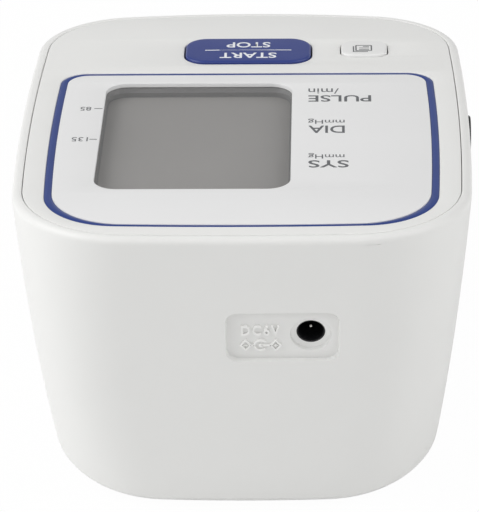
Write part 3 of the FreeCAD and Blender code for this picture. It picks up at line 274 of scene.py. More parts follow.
# Drawn steel can of the motor.
MOTOR_CAN = Finish("steel_drawn_can", "#a9abae", "#9a9ca0", 0.30, 0.08, 0.2, 0.002, 8.0,
                   metallic=1.0, stretch=(0.1, 1.0, 1.0))
# POM of the pump, moulded: waxy off-white.
PUMP_POM = Finish("pom_moulded_natural", "#dcdad2", "#d4d2c8", 0.40, 0.05, 0.3, 0.004, subsurface=0.05)
# EPDM rubber, moulded black.
BLACK_RUBBER = Finish("epdm_moulded_black", "#1b1b1c", "#232324", 0.75, 0.08, 0.2, 0.008, 5.0)
# Thermoplastic rubber of the feet: warm grey.
FOOT_RUBBER = Finish("tpe_moulded_grey", "#8b8c8c", "#838484", 0.78, 0.08, 0.22, 0.010, 5.0)
# Silicone tube, extruded: milky and soft.
SILICONE = Finish("silicone_extruded_milky", "#d9dcda", "#cfd3d1", 0.35, 0.05, 0.3, 0.002, 6.0,
                  subsurface=0.25)
# Silicone rubber connector of the display, striped with carbon layers.
ELASTOMER = Finish("elastomer_layered_grey", "#55575c", "#3d3f44", 0.60, 0.06, 0.1, 0.004, 0.6,
                   stretch=(0.05, 1.0, 0.05))
# Epoxy board under solder mask.
BOARD = Finish("solder_mask_green", "#1f5a3c", "#1a4f35", 0.30, 0.06, 0.4, 0.004, 5.0, coat=0.3)
# Epoxy package of a chip.
CHIP = Finish("epoxy_package_black", "#202124", "#282a2d", 0.60, 0.06, 0.15, 0.006, 4.0)
# Printed plastic sleeve of a cell.
CELL_SLEEVE = Finish("sleeve_shrunk_grey", "#5e656e", "#535a63", 0.28, 0.05, 0.5, 0.002, 9.0, coat=0.2)
# PVC insulation, extruded red.
LEAD_PVC = Finish("pvc_extruded_red", "#a3262a", "#93201f", 0.42, 0.05, 0.2, 0.003, 5.0)


# --- meshes ---------------------------------------------------------------------------------------
@dataclass(frozen=True)
class Seat:
    """A local frame: where a flat drawing lies and which way its axes point."""

    origin: tuple[float, float, float]
    across: tuple[float, float, float]
    along: tuple[float, float, float]

    def axes(self) -> Array:
        """Across, along and out, one below the other."""
        return np.stack([self.across, self.along, np.cross(self.across, self.along)])

    def local(self, points: Array) -> Array:
        """Points of the monitor's frame in local millimetres."""
        return (points - np.array(self.origin)) @ self.axes().T

    def place(self, points: Array) -> Array:
        """Local millimetres to the monitor's frame: origin + x across + y along + z out."""
        return np.array(self.origin) + points @ self.axes()


FACE = Seat((0.0, 0.0, FACE_Z), (1.0, 0.0, 0.0), (0.0, math.cos(TILT), math.sin(TILT)))
FLAT = Seat((0.0, 0.0, 0.0), (1.0, 0.0, 0.0), (0.0, 1.0, 0.0))


def hanging(x: float = 0.0, y: float = 0.0) -> Seat:
    """Frame on the table whose third axis points down."""
    return Seat((x, y, 0.0), (1.0, 0.0, 0.0), (0.0, -1.0, 0.0))


def unit(angle: Array) -> Array:
    """Unit vectors at the given angles."""
    return np.stack([np.cos(angle), np.sin(angle)], axis=-1)


def circle(centre: tuple[float, float] | Array, radius: float, count: int) -> Array:
    """Evenly spread points of a circle, counter-clockwise."""
    return np.array(centre) + radius * unit(np.arange(count) * math.tau / count)


def rectangle(left: float, low: float, right: float, high: float) -> Array:
    """Corners of an upright rectangle, counter-clockwise."""
    return np.array([(left, low), (right, low), (right, high), (left, high)])


def raised(flat: Array, height: float) -> Array:
    """Flat points with one height added to all of them."""
    return np.concatenate([flat, np.full((len(flat), 1), height)], axis=1)


def placed(name: str, data: bpy.types.ID) -> bpy.types.Object:
    """New object of the scene, at the origin.

    Args:
        name: Name of the object.
        data: Its mesh, curve, light or camera.

    Returns:
        The object.
    """
    made = bpy.data.objects.new(name, data)
    bpy.context.scene.collection.objects.link(made)
    return made


def finished(name: str, mesh: Mesh, finish: Finish, body: Body, slot: str, *nodes: str) -> None:
    """Turn a mesh into a piece that rides on a body and stands for its CAD nodes.

    Args:
        name: Name of the piece.
        mesh: Mesh in metres, with its place in its vertices.
        finish: Surface of the piece.
        body: Body that the piece moves with.
        slot: Material slot of the record; not used.
        nodes: CAD nodes that the piece replaces.
    """
    mesh.name = name
    piece = placed(name, mesh)
    finish.cover(mesh)
    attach(piece, body.value)
    if nodes:
        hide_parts(*nodes)
    LOG.info("%s: %d faces", name, len(mesh.polygons))


def shaded(mesh: Mesh, sharp: float) -> Mesh:
    """Shade a mesh smooth up to an angle.

    Args:
        mesh: Mesh in metres.
        sharp: Edges bent by more than this many degrees stay crisp.

    Returns:
        The same mesh.
    """
    mesh.polygons.foreach_set("use_smooth", [True] * len(mesh.polygons))
    mesh.set_sharp_from_angle(angle=math.radians(sharp))
    return mesh


def tidy(mesh: Mesh, sharp: float) -> Mesh:
    """Close seams and poles, drop loose points and shade smooth up to an angle.

    Args:
        mesh: Mesh in metres.
        sharp: Edges bent by more than this many degrees stay crisp.

    Returns:
        The same mesh.
    """
    form = bmesh.new()
    form.from_mesh(mesh)
    bmesh.ops.remove_doubles(form, verts=form.verts, dist=CLOSE * MM)
    bmesh.ops.dissolve_degenerate(form, edges=form.edges, dist=THIN * MM)
    bmesh.ops.delete(form, geom=[v for v in form.verts if not v.link_faces], context="VERTS")
    form.to_mesh(mesh)
    form.free()
    return shaded(mesh, sharp)


def grid_mesh(points: Array, sharp: float, keep: Array | None = None) -> Mesh:
    """Closed surface over a grid of points: rows run outwards and down, columns counter-clockwise.

    Args:
        points: Rows by columns by 3, in millimetres.
        sharp: Edges bent by more than this many degrees stay crisp.
        keep: Rows by columns, false where the quad that starts there is left out.

    Returns:
        The mesh, in metres, with outward faces.
    """
    rows, columns = points.shape[:2]
    index = np.arange(rows * columns).reshape(rows, columns)
    after = np.roll(index, -1, axis=1)
    quads = np.stack([index[:-1], index[1:], after[1:], after[:-1]], axis=-1)
    if keep is not None:
        quads = quads[keep[:-1]]
    mesh = bpy.data.meshes.new("grid")
    mesh.from_pydata((points.reshape(-1, 3) * MM).tolist(), [], quads.reshape(-1, 4).tolist())
    return tidy(mesh, sharp)


def layered(seat: Seat, rows: list[tuple[Array, float]], sharp: float) -> Mesh:
    """Surface through flat lines of equally many points, each at its height over a seat."""
    return grid_mesh(seat.place(np.stack([raised(flat, height) for flat, height in rows])), sharp)


def joined(meshes: list[Mesh], sharp: float = 32.0) -> Mesh:
    """One mesh from several.

    Args:
        meshes: Meshes in metres; they are used up.
        sharp: Edges bent by more than this many degrees stay crisp.

    Returns:
        The joined mesh.
    """
    form = bmesh.new()
    for mesh in meshes:
        form.from_mesh(mesh)
    made = bpy.data.meshes.new("joined")
    form.to_mesh(made)
    form.free()
    for mesh in meshes:
        bpy.data.meshes.remove(mesh)
    return shaded(made, sharp)


@dataclass(frozen=True)
class Loop:
    """Closed counter-clockwise line with its outward normals, so that it can be moved inwards."""

    points: Array
    normals: Array

    def inset(self, distance: float | Array) -> Array:
        """Points moved inwards along their normals."""
        return self.points - self.normals * np.atleast_1d(distance)[..., None]

    def scaled(self, share: float, inset: float) -> Array:
        """Inset loop drawn towards its middle.

        Args:
            share: Share of its size that is left.
            inset: Distance that it is moved inwards first.

        Returns:
            The points.
        """
        loop = self.inset(inset)
        middle = (loop.max(0) + loop.min(0)) / 2
        return middle + (loop - middle) * share


@dataclass(frozen=True)
class Outline:
    """Rectangle with four bowed sides that round corners meet tangentially."""

    half_width: float
    front: float
    rear: float
    side_bow: float
    front_bow: float
    rear_bow: float
    front_radius: float
    rear_radius: float
    side_span: tuple[float, float] | None = None    # ends that the side bow runs between, if not the sides'

    def arcs(self) -> list[tuple[Array, float, float, float]]:
        """Eight arcs, counter-clockwise from the right side.

        Each bow is an arc through the side's middle with the bow's rise over its chord. A corner's
        centre is where circles about the two bows' centres, smaller by the corner's radius, cross.

        Returns:
            Centre, radius, start angle and end angle of each arc.
        """
        def bow(half: float, rise: float) -> float:
            """Radius of the arc with this rise over half its chord."""
            return (half ** 2 + rise ** 2) / (2 * rise)

        low, high = self.side_span or (self.front, self.rear)
        middle = (low + high) / 2
        side = bow((high - low) / 2, self.side_bow)
        rear, front = bow(self.half_width, self.rear_bow), bow(self.half_width, self.front_bow)
        centres = [np.array(c) for c in ((self.half_width - side, middle), (0, self.rear - rear),
                                         (side - self.half_width, middle), (0, self.front + front))]
        radii = [side, rear, side, front]
        corner_radii = [self.rear_radius, self.rear_radius, self.front_radius, self.front_radius]
        near = [(self.half_width, self.rear), (-self.half_width, self.rear),
                (-self.half_width, self.front), (self.half_width, self.front)]
        corners = []
        for i in range(4):
            a, b = centres[i], centres[(i + 1) % 4]
            ra, rb = radii[i] - corner_radii[i], radii[(i + 1) % 4] - corner_radii[i]
            apart = np.linalg.norm(b - a)
            along = (ra ** 2 - rb ** 2 + apart ** 2) / (2 * apart)
            toward = (b - a) / apart
            foot = a + toward * along
            side_step = np.array([-toward[1], toward[0]]) * math.sqrt(ra ** 2 - along ** 2)
            corners.append(min((foot + side_step, foot - side_step),
                               key=lambda p: float(np.linalg.norm(p - np.array(near[i])))))
        made = []
        for i in range(4):
            start = corners[i - 1] - centres[i]
            end = corners[i] - centres[i]
            first, last = math.atan2(start[1], start[0]), math.atan2(end[1], end[0])
            made.append((centres[i], radii[i], first, first + (last - first) % math.tau))
            after = corners[i] - centres[(i + 1) % 4]
            turn = math.atan2(after[1], after[0])
            made.append((corners[i], corner_radii[i], last, last + (turn - last) % math.tau))
        return made

    def loop(self, shares: list[Array]) -> Loop:
        """Points at given shares of each arc.

        Args:
            shares: For each of the eight arcs, shares from 0 up to but not including 1.

        Returns:
            The closed line.
        """
        points, normals = [], []
        for (centre, radius, first, last), part in zip(self.arcs(), shares):
            angle = first + (last - first) * part
            normal = unit(angle)
            normals.append(normal)
            points.append(centre + radius * normal)
        return Loop(np.concatenate(points), np.concatenate(normals))


def even_shares(sides: int, corners: int) -> list[Array]:
    """Evenly spread shares for the four bows and the four corners of an outline."""
    return [np.arange(n) / n for n in (sides, corners) * 4]


def rounded_rectangle(u: float, v: float, width: float, length: float, radius: float,
                      corner: int, side: int) -> Loop:
    """Closed line of a rectangle with round corners.

    Args:
        u: Middle across.
        v: Middle along.
        width: Size across.
        length: Size along.
        radius: Corner radius.
        corner: Points on each corner.
        side: Points on each straight side.

    Returns:
        The closed line, counter-clockwise from the right end of the lower right corner.
    """
    points, normals = [], []
    signs = ((1, 1), (-1, 1), (-1, -1), (1, -1))
    for i, (sx, sy) in enumerate(signs):
        centre = np.array([u + sx * (width / 2 - radius), v + sy * (length / 2 - radius)])
        angle = math.pi / 2 * (i + np.linspace(0, 1, corner))
        normal = unit(angle)
        arc = centre + radius * normal
        nx, ny = signs[(i + 1) % 4]
        follow = np.array([u + nx * (width / 2 - radius), v + ny * (length / 2 - radius)])
        begin = follow + radius * normal[-1]
        share = np.linspace(0, 1, side + 1)[1:-1, None]
        points += [arc, arc[-1] + (begin - arc[-1]) * share]
        normals += [normal, np.repeat(normal[-1:], side - 1, axis=0)]
    return Loop(np.concatenate(points), np.concatenate(normals))


def flat_plate(outer: Array, holes: list[Array], top: float, thick: float,
               seat: Seat, bevel: float) -> Mesh:
    """Plate with openings: closed flat lines, filled, given a thickness and rounded edges.

    Args:
        outer: Outer line, counter-clockwise, N by 2.
        holes: Openings, counter-clockwise, N by 2 each.
        top: Height of the upper face over the seat.
        thick: Thickness.
        seat: Frame that the plate lies in.
        bevel: Radius of the rounded edges.

    Returns:
        The mesh, in metres.
    """
    curve = bpy.data.curves.new("plate", "CURVE")
    curve.dimensions, curve.fill_mode = "2D", "BOTH"
    curve.extrude = (thick / 2 - bevel) * MM
    curve.bevel_depth, curve.bevel_resolution, curve.offset = bevel * MM, 2, -bevel * MM
    for line in [outer] + [hole[::-1] for hole in holes]:
        spline = curve.splines.new("POLY")
        spline.points.add(len(line) - 1)
        flat = np.concatenate([line * MM, np.zeros((len(line), 1)), np.ones((len(line), 1))], axis=1)
        spline.points.foreach_set("co", flat.ravel())
        spline.use_cyclic_u = True
    mesh = curve_mesh(curve)
    fit(mesh, seat, (0.0, 0.0, top - thick / 2), (1.0, 1.0))
    return tidy(mesh, 25.0)


def curve_mesh(curve: bpy.types.Curve) -> Mesh:
    """Mesh of a flat curve or of lettering, made before its place is applied.

    Args:
        curve: The curve; it is used up.

    Returns:
        The mesh, in metres around its own origin.
    """
    holder = placed("curve", curve)
    mesh = bpy.data.meshes.new_from_object(holder.evaluated_get(bpy.context.evaluated_depsgraph_get()))
    bpy.data.objects.remove(holder)
    bpy.data.curves.remove(curve)
    return mesh


def coordinates(mesh: Mesh) -> Array:
    """Vertex places of a mesh.

    Args:
        mesh: Mesh in metres.

    Returns:
        Array of N by 3, in millimetres.
    """
    flat = np.empty(len(mesh.vertices) * 3)
    mesh.vertices.foreach_get("co", flat)
    return flat.reshape(-1, 3) / MM


def put_points(mesh: Mesh, points: Array) -> None:
    """Give the vertices of a mesh new places, in millimetres."""
    mesh.vertices.foreach_set("co", (points * MM).ravel())
    mesh.update()


def fit(mesh: Mesh, seat: Seat, shift: tuple[float, float, float], scale: tuple[float, float]) -> None:
    """Scale a mesh across and along, shift it by local millimetres and lay it in a seat."""
    put_points(mesh, seat.place(coordinates(mesh) * np.array([*scale, 1.0]) + np.array(shift)))


def lettering(text: str, seat: Seat, low: tuple[float, float], high: tuple[float, float],
              base: float, thick: float, weight: float = 0.0, spacing: float = 1.0) -> Mesh:
    """Text as thin solid letters that fill a box of a seat.

    Args:
        text: What it says.
        seat: Frame that it lies in.
        low: Lower left corner of the box.
        high: Upper right corner of the box.
        base: Height of the letters' underside over the seat.
        thick: Thickness of the letters.
        weight: How much bolder the strokes are, as a share of the letter size.
        spacing: Distance between letters, 1 for the usual one.

    Returns:
        The mesh, in metres.
    """
    curve = bpy.data.curves.new("text", "FONT")
    curve.body, curve.size, curve.resolution_u, curve.offset = text, TYPE_SIZE, 4, weight * TYPE_SIZE
    curve.extrude, curve.space_character = thick * MM / 2, spacing
    mesh = curve_mesh(curve)
    local = coordinates(mesh)
    near, far = local.min(0), local.max(0)
    tall = (high[1] - low[1]) / (far[1] - near[1])
    wide = (high[0] - low[0]) / (far[0] - near[0])
    shift = (low[0] - near[0] * wide, low[1] - near[1] * tall, base + thick / 2)
    fit(mesh, seat, shift, (wide, tall))
    return tidy(mesh, 30.0)


def turned(profile: Array, seat: Seat, around: int, sharp: float) -> Mesh:
    """Surface of revolution: a profile of radius and height carried round the seat's axis.

    Args:
        profile: Rows of radius and height, from the inside over the top to the outside.
        seat: Frame whose third axis is the axis of revolution.
        around: Number of points round the axis.
        sharp: Edges bent by more than this many degrees stay crisp.

    Returns:
        The mesh, in metres.
    """
    angle = np.arange(around) * math.tau / around
    radius, height = profile[:, :1], profile[:, 1:]
    local = np.stack([radius * np.cos(angle), radius * np.sin(angle), height + 0 * angle], axis=-1)
    return grid_mesh(seat.place(local), sharp)


def fillet(centre: tuple[float, float], radius: float, first: float, last: float, steps: int) -> Array:
    """Points of a profile on an arc between two angles in degrees."""
    return np.array(centre) + radius * unit(np.radians(np.linspace(first, last, steps)))


# --- case -----------------------------------------------------------------------------------------
RIM = Outline(51.5, -64.5, 64.5, 2.3, 5.6, 1.75, 23.0, 27.0)
MID = Outline(48.7, -62.8, 64.4, 2.0, 3.8, 1.4, 19.0, 23.0)
BASE = Outline(44.7, -59.5, 63.2, 1.5, 2.5, 2.4, 20.0, 26.5)
KNOTS = (0.0, 0.525, 1.0)       # shares of the height that base, middle and rim lie at
FACE_RIM = replace(RIM, front=RIM.front / math.cos(TILT), rear=RIM.rear / math.cos(TILT))


@dataclass
class Recess:
    """Shallow rounded recess in the rear wall, around the power socket."""

    x: float = -9.0
    z: float = SOCKET_Z
    width: float = 24.7
    height: float = 13.9
    radius: float = 3.0
    floor_y: float = 63.4
    slant: float = 0.1          # width of the recess's steep edge
    lip: float = 0.12           # radius of its rounded upper edge
    margin: float = 0.275       # how much smaller the floor's plate is on every side

    def distance(self, x: Array, z: Array) -> Array:
        """Signed distance to the rounded rectangle.

        Args:
            x: Places across.
            z: Heights.

        Returns:
            Distances, negative inside.
        """
        over_x = np.abs(x - self.x) - (self.width / 2 - self.radius)
        over_z = np.abs(z - self.z) - (self.height / 2 - self.radius)
        outside = np.hypot(np.maximum(over_x, 0), np.maximum(over_z, 0))
        return outside + np.minimum(np.maximum(over_x, over_z), 0) - self.radius

    def dip(self, away: Array) -> Array:
        """A quarter round, then a steep straight edge.

        Args:
            away: Signed distances to the rounded rectangle.

        Returns:
            Shares of the recess's depth.
        """
        over = np.clip(self.lip - away, 0, self.lip)
        rounded = self.lip - np.sqrt(self.lip ** 2 - over ** 2)
        return rounded + (1 - self.lip) * np.clip(-away / self.slant, 0, 1)

    def lines(self, middle: float, size: float, coarse: float) -> Array:
        """Grid lines across the recess: close at its round ends, wider between them.

        Args:
            middle: Middle of the recess.
            size: Size of the recess.
            coarse: Distance of the lines between the ends.

        Returns:
            Places of the lines, rising.
        """
        low, high = middle - size / 2, middle + size / 2
        ends = np.array([-0.5, -0.3, -0.2, -0.1, -0.04, 0.0, 0.1, 0.25, 0.45, 0.7, 0.95, 1.2, 1.5, 1.8,
                         2.1, 2.4, 2.7, 3.1])
        inner = np.arange(low + ends[-1] + coarse, high - ends[-1], coarse)
        return np.concatenate([low + ends, inner, (high - ends)[::-1]])


@dataclass
class CaseShell:
    """Lower case: rim, walls, underside, screw wells and the room for the cells."""

    rim_width: float = 2.3
    rim_radius: float = 2.0
    base_radius: float = 2.0
    gap_depth: float = 8.5
    plate_inset: float = 2.1
    floor: float = 2.4
    # Place of each screw well and height of its boss, then place of each foot.
    bosses: tuple = ((37.5, -31.0, 32.0), (-37.5, -31.0, 32.0), (28.0, 55.0, 50.0), (-28.0, 55.0, 50.0))
    feet: tuple = ((35.2, -46.0), (-35.2, -46.0), (33.0, 49.0), (-33.0, 49.0))
    well_radius: float = 3.1
    well_wall: float = 0.8
    screw_hole: float = 1.7
    boss_web: float = 2.5
    boss_roof: float = 1.0
    foot_radius: float = 4.4
    foot_sink: float = 0.7
    bay: tuple = (30.1, -50.0, 6.0, 18.5)       # half width, front, rear, ceiling
    latch: tuple = (6.3, 1.9)                   # half width and depth of the latch's notch
    air_hole: float = 4.25                      # radius of the air socket's hole
    left_x: float = -30.0                       # the air socket's hole lies left of this
    rim_lip: float = 0.22                       # radius of the rim's edge at the parting gap
    lip_from: float = 0.3                       # rad, where the first point of that edge lies on its round
    below_round: float = 1.04                   # the wall starts this many rim radii below the top
    lead_in: int = 9                            # columns of the rear bow ahead of the fixed places
    last_place: float = 22.5                    # how far out the fixed places of the rear bow reach
    blend: float = 9.0                          # height over which columns leave the fixed places
    level_reach: float = 20.0                   # half width over which the rear wall's rows lie level
    opening: float = -0.5                       # distance inside the recess from which it is left open
    recess: Recess = field(default_factory=Recess)

    def wall_levels(self) -> Array:
        """Heights of the wall's rows, measured on the rear wall.

        Returns:
            Heights from the rim down, close together at the recess.
        """
        top = FACE_Z + RIM.rear * math.tan(TILT) - self.rim_radius * self.below_round
        fine = self.recess.lines(self.recess.z, self.recess.height, coarse=0.9)
        upper = np.linspace(top, fine[-1] + 0.5, 26)
        lower = np.linspace(fine[0] - 1.0, BASE_Z + self.base_radius, 32)
        return np.concatenate([upper, fine[::-1], lower])

    def rear_places(self) -> Array:
        """The x places that the rear bow's columns follow, close together at the recess."""
        fixed = self.recess.lines(self.recess.x, self.recess.width, coarse=1.0)[::-1]
        return np.concatenate([[9.0, 7.5, 6.0, 5.0], fixed, [-self.last_place]])

    def shares(self, outlines: list[Outline]) -> list[list[Array]]:
        """Shares of every arc; the rear bow follows fixed x places.

        Args:
            outlines: The three sections.

        Returns:
            For each section its shares of the eight arcs, close together at the air socket.
        """
        fixed = self.rear_places()
        side = np.concatenate([np.linspace(0, 0.60, 34)[:-1], np.linspace(0.60, 1, 22)[:-1]])
        air_socket = np.linspace(0.52, 0.66, 26)
        left = np.unique(np.concatenate([np.linspace(0, 1, 60)[:-1], air_socket]))
        corner = np.arange(22) / 22
        made = []
        for outline in outlines:
            _, radius, first, last = outline.arcs()[2]
            places = fixed * min(1.0, (radius * math.cos(first) - 0.4) / self.last_place)
            shares = (np.arccos(places / radius) - first) / (last - first)
            before = np.linspace(0, shares[0], self.lead_in + 1)[:-1]
            after = np.linspace(shares[-1], 1, 6)[1:-1]
            made.append([side, corner, np.concatenate([before, shares, after]), corner,
                         left, corner, np.arange(36) / 36, corner])
        return made

    def sections(self) -> list[Outline]:
        """The three sections, each in its own tilted plane.

        Returns:
            Sections from the underside up.
        """
        made = []
        for outline, share in zip((BASE, MID, RIM), KNOTS):
            stretch = math.hypot(1.0, share * math.tan(TILT))
            made.append(replace(outline, front=outline.front * stretch, rear=outline.rear * stretch))
        return made

    def surface(self, loops: list[Loop], share: Array, inset: Array) -> Array:
        """Point of the wall: a parabola through the three sections at a share of the height.

        Args:
            loops: The three sections' lines.
            share: Rows by columns, share of the local height.
            inset: Rows by columns, distance inwards in the section's plane.

        Returns:
            Rows by columns by 3, in millimetres.
        """
        local, normal = np.zeros(share.shape + (2,)), np.zeros(share.shape + (2,))
        for knot, loop in zip(KNOTS, loops):
            others = [k for k in KNOTS if k != knot]
            weight = np.prod([(share - k) / (knot - k) for k in others], axis=0)[..., None]
            local += weight * loop.points
            normal += weight * loop.normals
        normal /= np.linalg.norm(normal, axis=-1, keepdims=True)
        local -= normal * inset[..., None]
        slope = np.arctan(share * math.tan(TILT))
        height = BASE_Z + share * (FACE_Z - BASE_Z)
        y, z = local[..., 1] * np.cos(slope), height + local[..., 1] * np.sin(slope)
        return np.stack([local[..., 0], y, z], axis=-1)

    def shell(self) -> Mesh:
        """Wall and rim as one grid.

        Rows run up the parting gap, over the rim's round, down the wall and round into the
        underside. A round is an extra inset of radius less the circle's height at that depth.
        Inside the recess the points are set back to its floor, and its middle is left open.

        Returns:
            The mesh, in metres.
        """
        sections = self.sections()
        shares = self.shares(sections)
        loops = [outline.loop(part) for outline, part in zip(sections, shares)]
        local_height = FACE_Z - BASE_Z + RIM.rear * math.tan(TILT)

        def spread(values: Array) -> Array:
            """One value for each row, the same in every column."""
            return np.repeat(values[:, None], len(loops[0].points), axis=1)

        lip, turn = self.rim_lip, np.linspace(self.lip_from, math.pi / 2, 4)
        gap_w = np.concatenate([np.linspace(-self.gap_depth, -lip, 4), lip * (np.sin(turn) - 1)])
        gap_in = np.concatenate([np.full(4, self.rim_width), self.rim_width + lip * (np.cos(turn) - 1)])
        rows = [FACE.place(raised(loops[2].inset(inset), w)) for w, inset in zip(gap_w, gap_in)]
        angle = np.linspace(0, math.pi / 2, 14)
        depth = self.rim_radius * (1 - np.cos(angle)) / local_height
        rows += list(self.surface(loops, spread(1 - depth), spread(self.rim_radius * (1 - np.sin(angle)))))

        levels = self.wall_levels()
        share = spread((levels - BASE_Z) / local_height)
        guess = self.surface(loops, share, np.zeros_like(share))
        rear = (guess[..., 1] > REAR_Y) & (np.abs(guess[..., 0] - self.recess.x) < self.level_reach)
        exact = (levels[:, None] - BASE_Z) / (FACE_Z - BASE_Z + guess[..., 1] * math.tan(TILT))
        wall = self.surface(loops, np.where(rear, exact, share), np.zeros_like(share))
        places = self.rear_places()
        start = len(shares[0][0]) + len(shares[0][1]) + self.lead_in
        fixed = (slice(None), slice(start, start + len(places)), 0)
        near = np.clip(2 - np.abs(levels - self.recess.z) / self.blend, 0, 1)[:, None]
        wall[fixed] = wall[fixed] + (places - wall[fixed]) * near
        away = self.recess.distance(wall[..., 0], wall[..., 2])
        dip = self.recess.dip(np.where(wall[..., 1] > REAR_Y, away, np.inf))
        wall[..., 1] = wall[..., 1] * (1 - dip) + self.recess.floor_y * dip
        rows += list(wall)

        base_in = self.base_radius * (1 - np.cos(angle))[1:]
        base_share = self.base_radius * (1 - np.sin(angle))[1:] / (FACE_Z - BASE_Z)
        under = np.array([self.plate_inset + 0.3])
        rows += list(self.surface(loops, spread(base_share), spread(base_in)))
        rows += list(self.surface(loops, spread(0 * under), spread(under)))

        points = np.stack(rows)
        middle = (points + np.roll(points, -1, axis=1)) / 2
        middle[:-1] = (middle[:-1] + middle[1:]) / 2
        inside = self.recess.distance(middle[..., 0], middle[..., 2]) < self.opening
        y, z = AIR_SOCKET
        socket = np.hypot(middle[..., 1] - y, middle[..., 2] - z) < self.air_hole
        keep = ~(inside & (middle[..., 1] > REAR_Y)) & ~(socket & (middle[..., 0] < self.left_x))
        return grid_mesh(points, sharp=40.0, keep=keep)

    def underside(self) -> Mesh:
        """Plate of the underside with its openings.

        Returns:
            The mesh, in metres.
        """
        outer = self.sections()[0].loop(even_shares(30, 16)).inset(self.plate_inset)
        half, front, rear, _ = self.bay
        tab, deep = self.latch
        bay = np.array([(half, rear), (-half, rear), (-half, front), (-tab, front), (-tab, front - deep),
                        (tab, front - deep), (tab, front), (half, front)])
        holes = [bay] + [circle((x, y), self.well_radius, 40) for x, y, _ in self.bosses]
        holes += [circle(foot, self.foot_radius, 40) for foot in self.feet]
        return flat_plate(outer, holes, BASE_Z + self.floor, self.floor - 0.01, FLAT, bevel=0.03)

    def wells(self) -> list[Mesh]:
        """Blind tubes over the screw openings and the foot pockets, with their roofs.

        Returns:
            The meshes, in metres.
        """
        made = []
        hole, bore, outer = self.screw_hole, self.well_radius, self.well_radius + self.well_wall
        for x, y, top in self.bosses:
            roof = -top + self.boss_web
            over = roof - self.boss_roof
            profile = np.array([(hole, roof), (bore, roof), (bore, -BASE_Z - 0.2), (outer, -BASE_Z - 0.4),
                                (outer, over), (hole, over), (hole, roof)])
            made.append(turned(profile, hanging(x, y), around=40, sharp=30.0))
        for foot in self.feet:
            roof = -BASE_Z - self.foot_sink
            profile = np.array([(0.0, roof), (self.foot_radius + 0.01, roof)])
            made.append(turned(profile, hanging(*foot), around=40, sharp=30.0))
        return made

    def bay_walls(self) -> Mesh:
        """Box over the cells, open below: rows run from its roof's middle outwards and down.

        Returns:
            The mesh, in metres.
        """
        half, front, rear, ceiling = self.bay
        loop = rounded_rectangle(0.0, (front + rear) / 2, 2 * half, rear - front, 0.6, corner=5, side=12)
        mirror = np.array([1, -1])
        flipped = Loop((loop.points * mirror)[::-1], (loop.normals * mirror)[::-1])
        rows = [(flipped.scaled(share, inset), -height)
                for share, inset, height in ((0.0, 0.0, ceiling), (0.5, 0.0, ceiling), (1.0, 0.3, ceiling),
                                             (1.0, 0.0, ceiling - 0.3), (1.0, 0.0, BASE_Z + 0.3))]
        return layered(hanging(), rows, sharp=40.0)

    def build(self) -> None:
        """Make the lower case's pieces."""
        finished("lower_case_shell", self.shell(), CASE_ABS, Body.CASE, "case_white", "lower_case")
        parts = [self.underside(), self.bay_walls()] + self.wells()
        finished("lower_case_underside", joined(parts), CASE_ABS, Body.CASE, "case_white", "lower_case")


# --- face -----------------------------------------------------------------------------------------
RING = Outline(44.15, -27.05, 59.9, 2.45, 0.1, 1.4, 6.2, 16.5, (-60.7, 68.3))
RING_INNER = replace(RING, half_width=42.5, front=-25.85, rear=58.85, front_radius=5.0, rear_radius=16.9)


@dataclass
class Key:
    """One push button: its cap with a rounded edge and a slight dome."""

    name: str
    u: float
    v: float
    width: float
    length: float
    radius: float
    body: Body
    finish: Finish
    slot: str
    node: str
    proud: float = 0.7
    edge: float = 0.55
    dome: float = 0.12
    gap: tuple[float, float] = (0.35, 0.35)     # around the cap, across and along
    skirt: tuple = ((0.0, -3.1), (-1.3, -3.2), (-1.3, -4.3), (1.5, -4.3))   # inset and height of its rows

    def loop(self, across: float = 0.0, along: float = 0.0) -> Loop:
        """Outline of the cap, grown by margins across and along."""
        return rounded_rectangle(self.u, self.v, self.width + 2 * across, self.length + 2 * along,
                                 self.radius + min(across, along), corner=16, side=14)

    def top(self, share: float) -> float:
        """Height of the cap's top: the dome falls with the square of the share to the edge."""
        return self.proud - self.dome * share ** 2

    def build(self) -> None:
        """Rows run from the middle of the cap outwards, round its edge and down to the flange."""
        loop = self.loop()
        rows = [(loop.scaled(share, self.edge), self.top(share)) for share in np.linspace(0, 1, 13)]
        for angle in np.linspace(0, math.pi / 2, 8)[1:]:
            inset = self.edge * (1 - math.sin(angle))
            rows.append((loop.inset(inset), self.top(1.0) - self.edge * (1 - math.cos(angle))))
        rows += [(loop.inset(inset), height) for inset, height in self.skirt]
        mesh = layered(FACE, rows, sharp=35.0)
        finished(self.name, mesh, self.finish, self.body, self.slot, self.node)


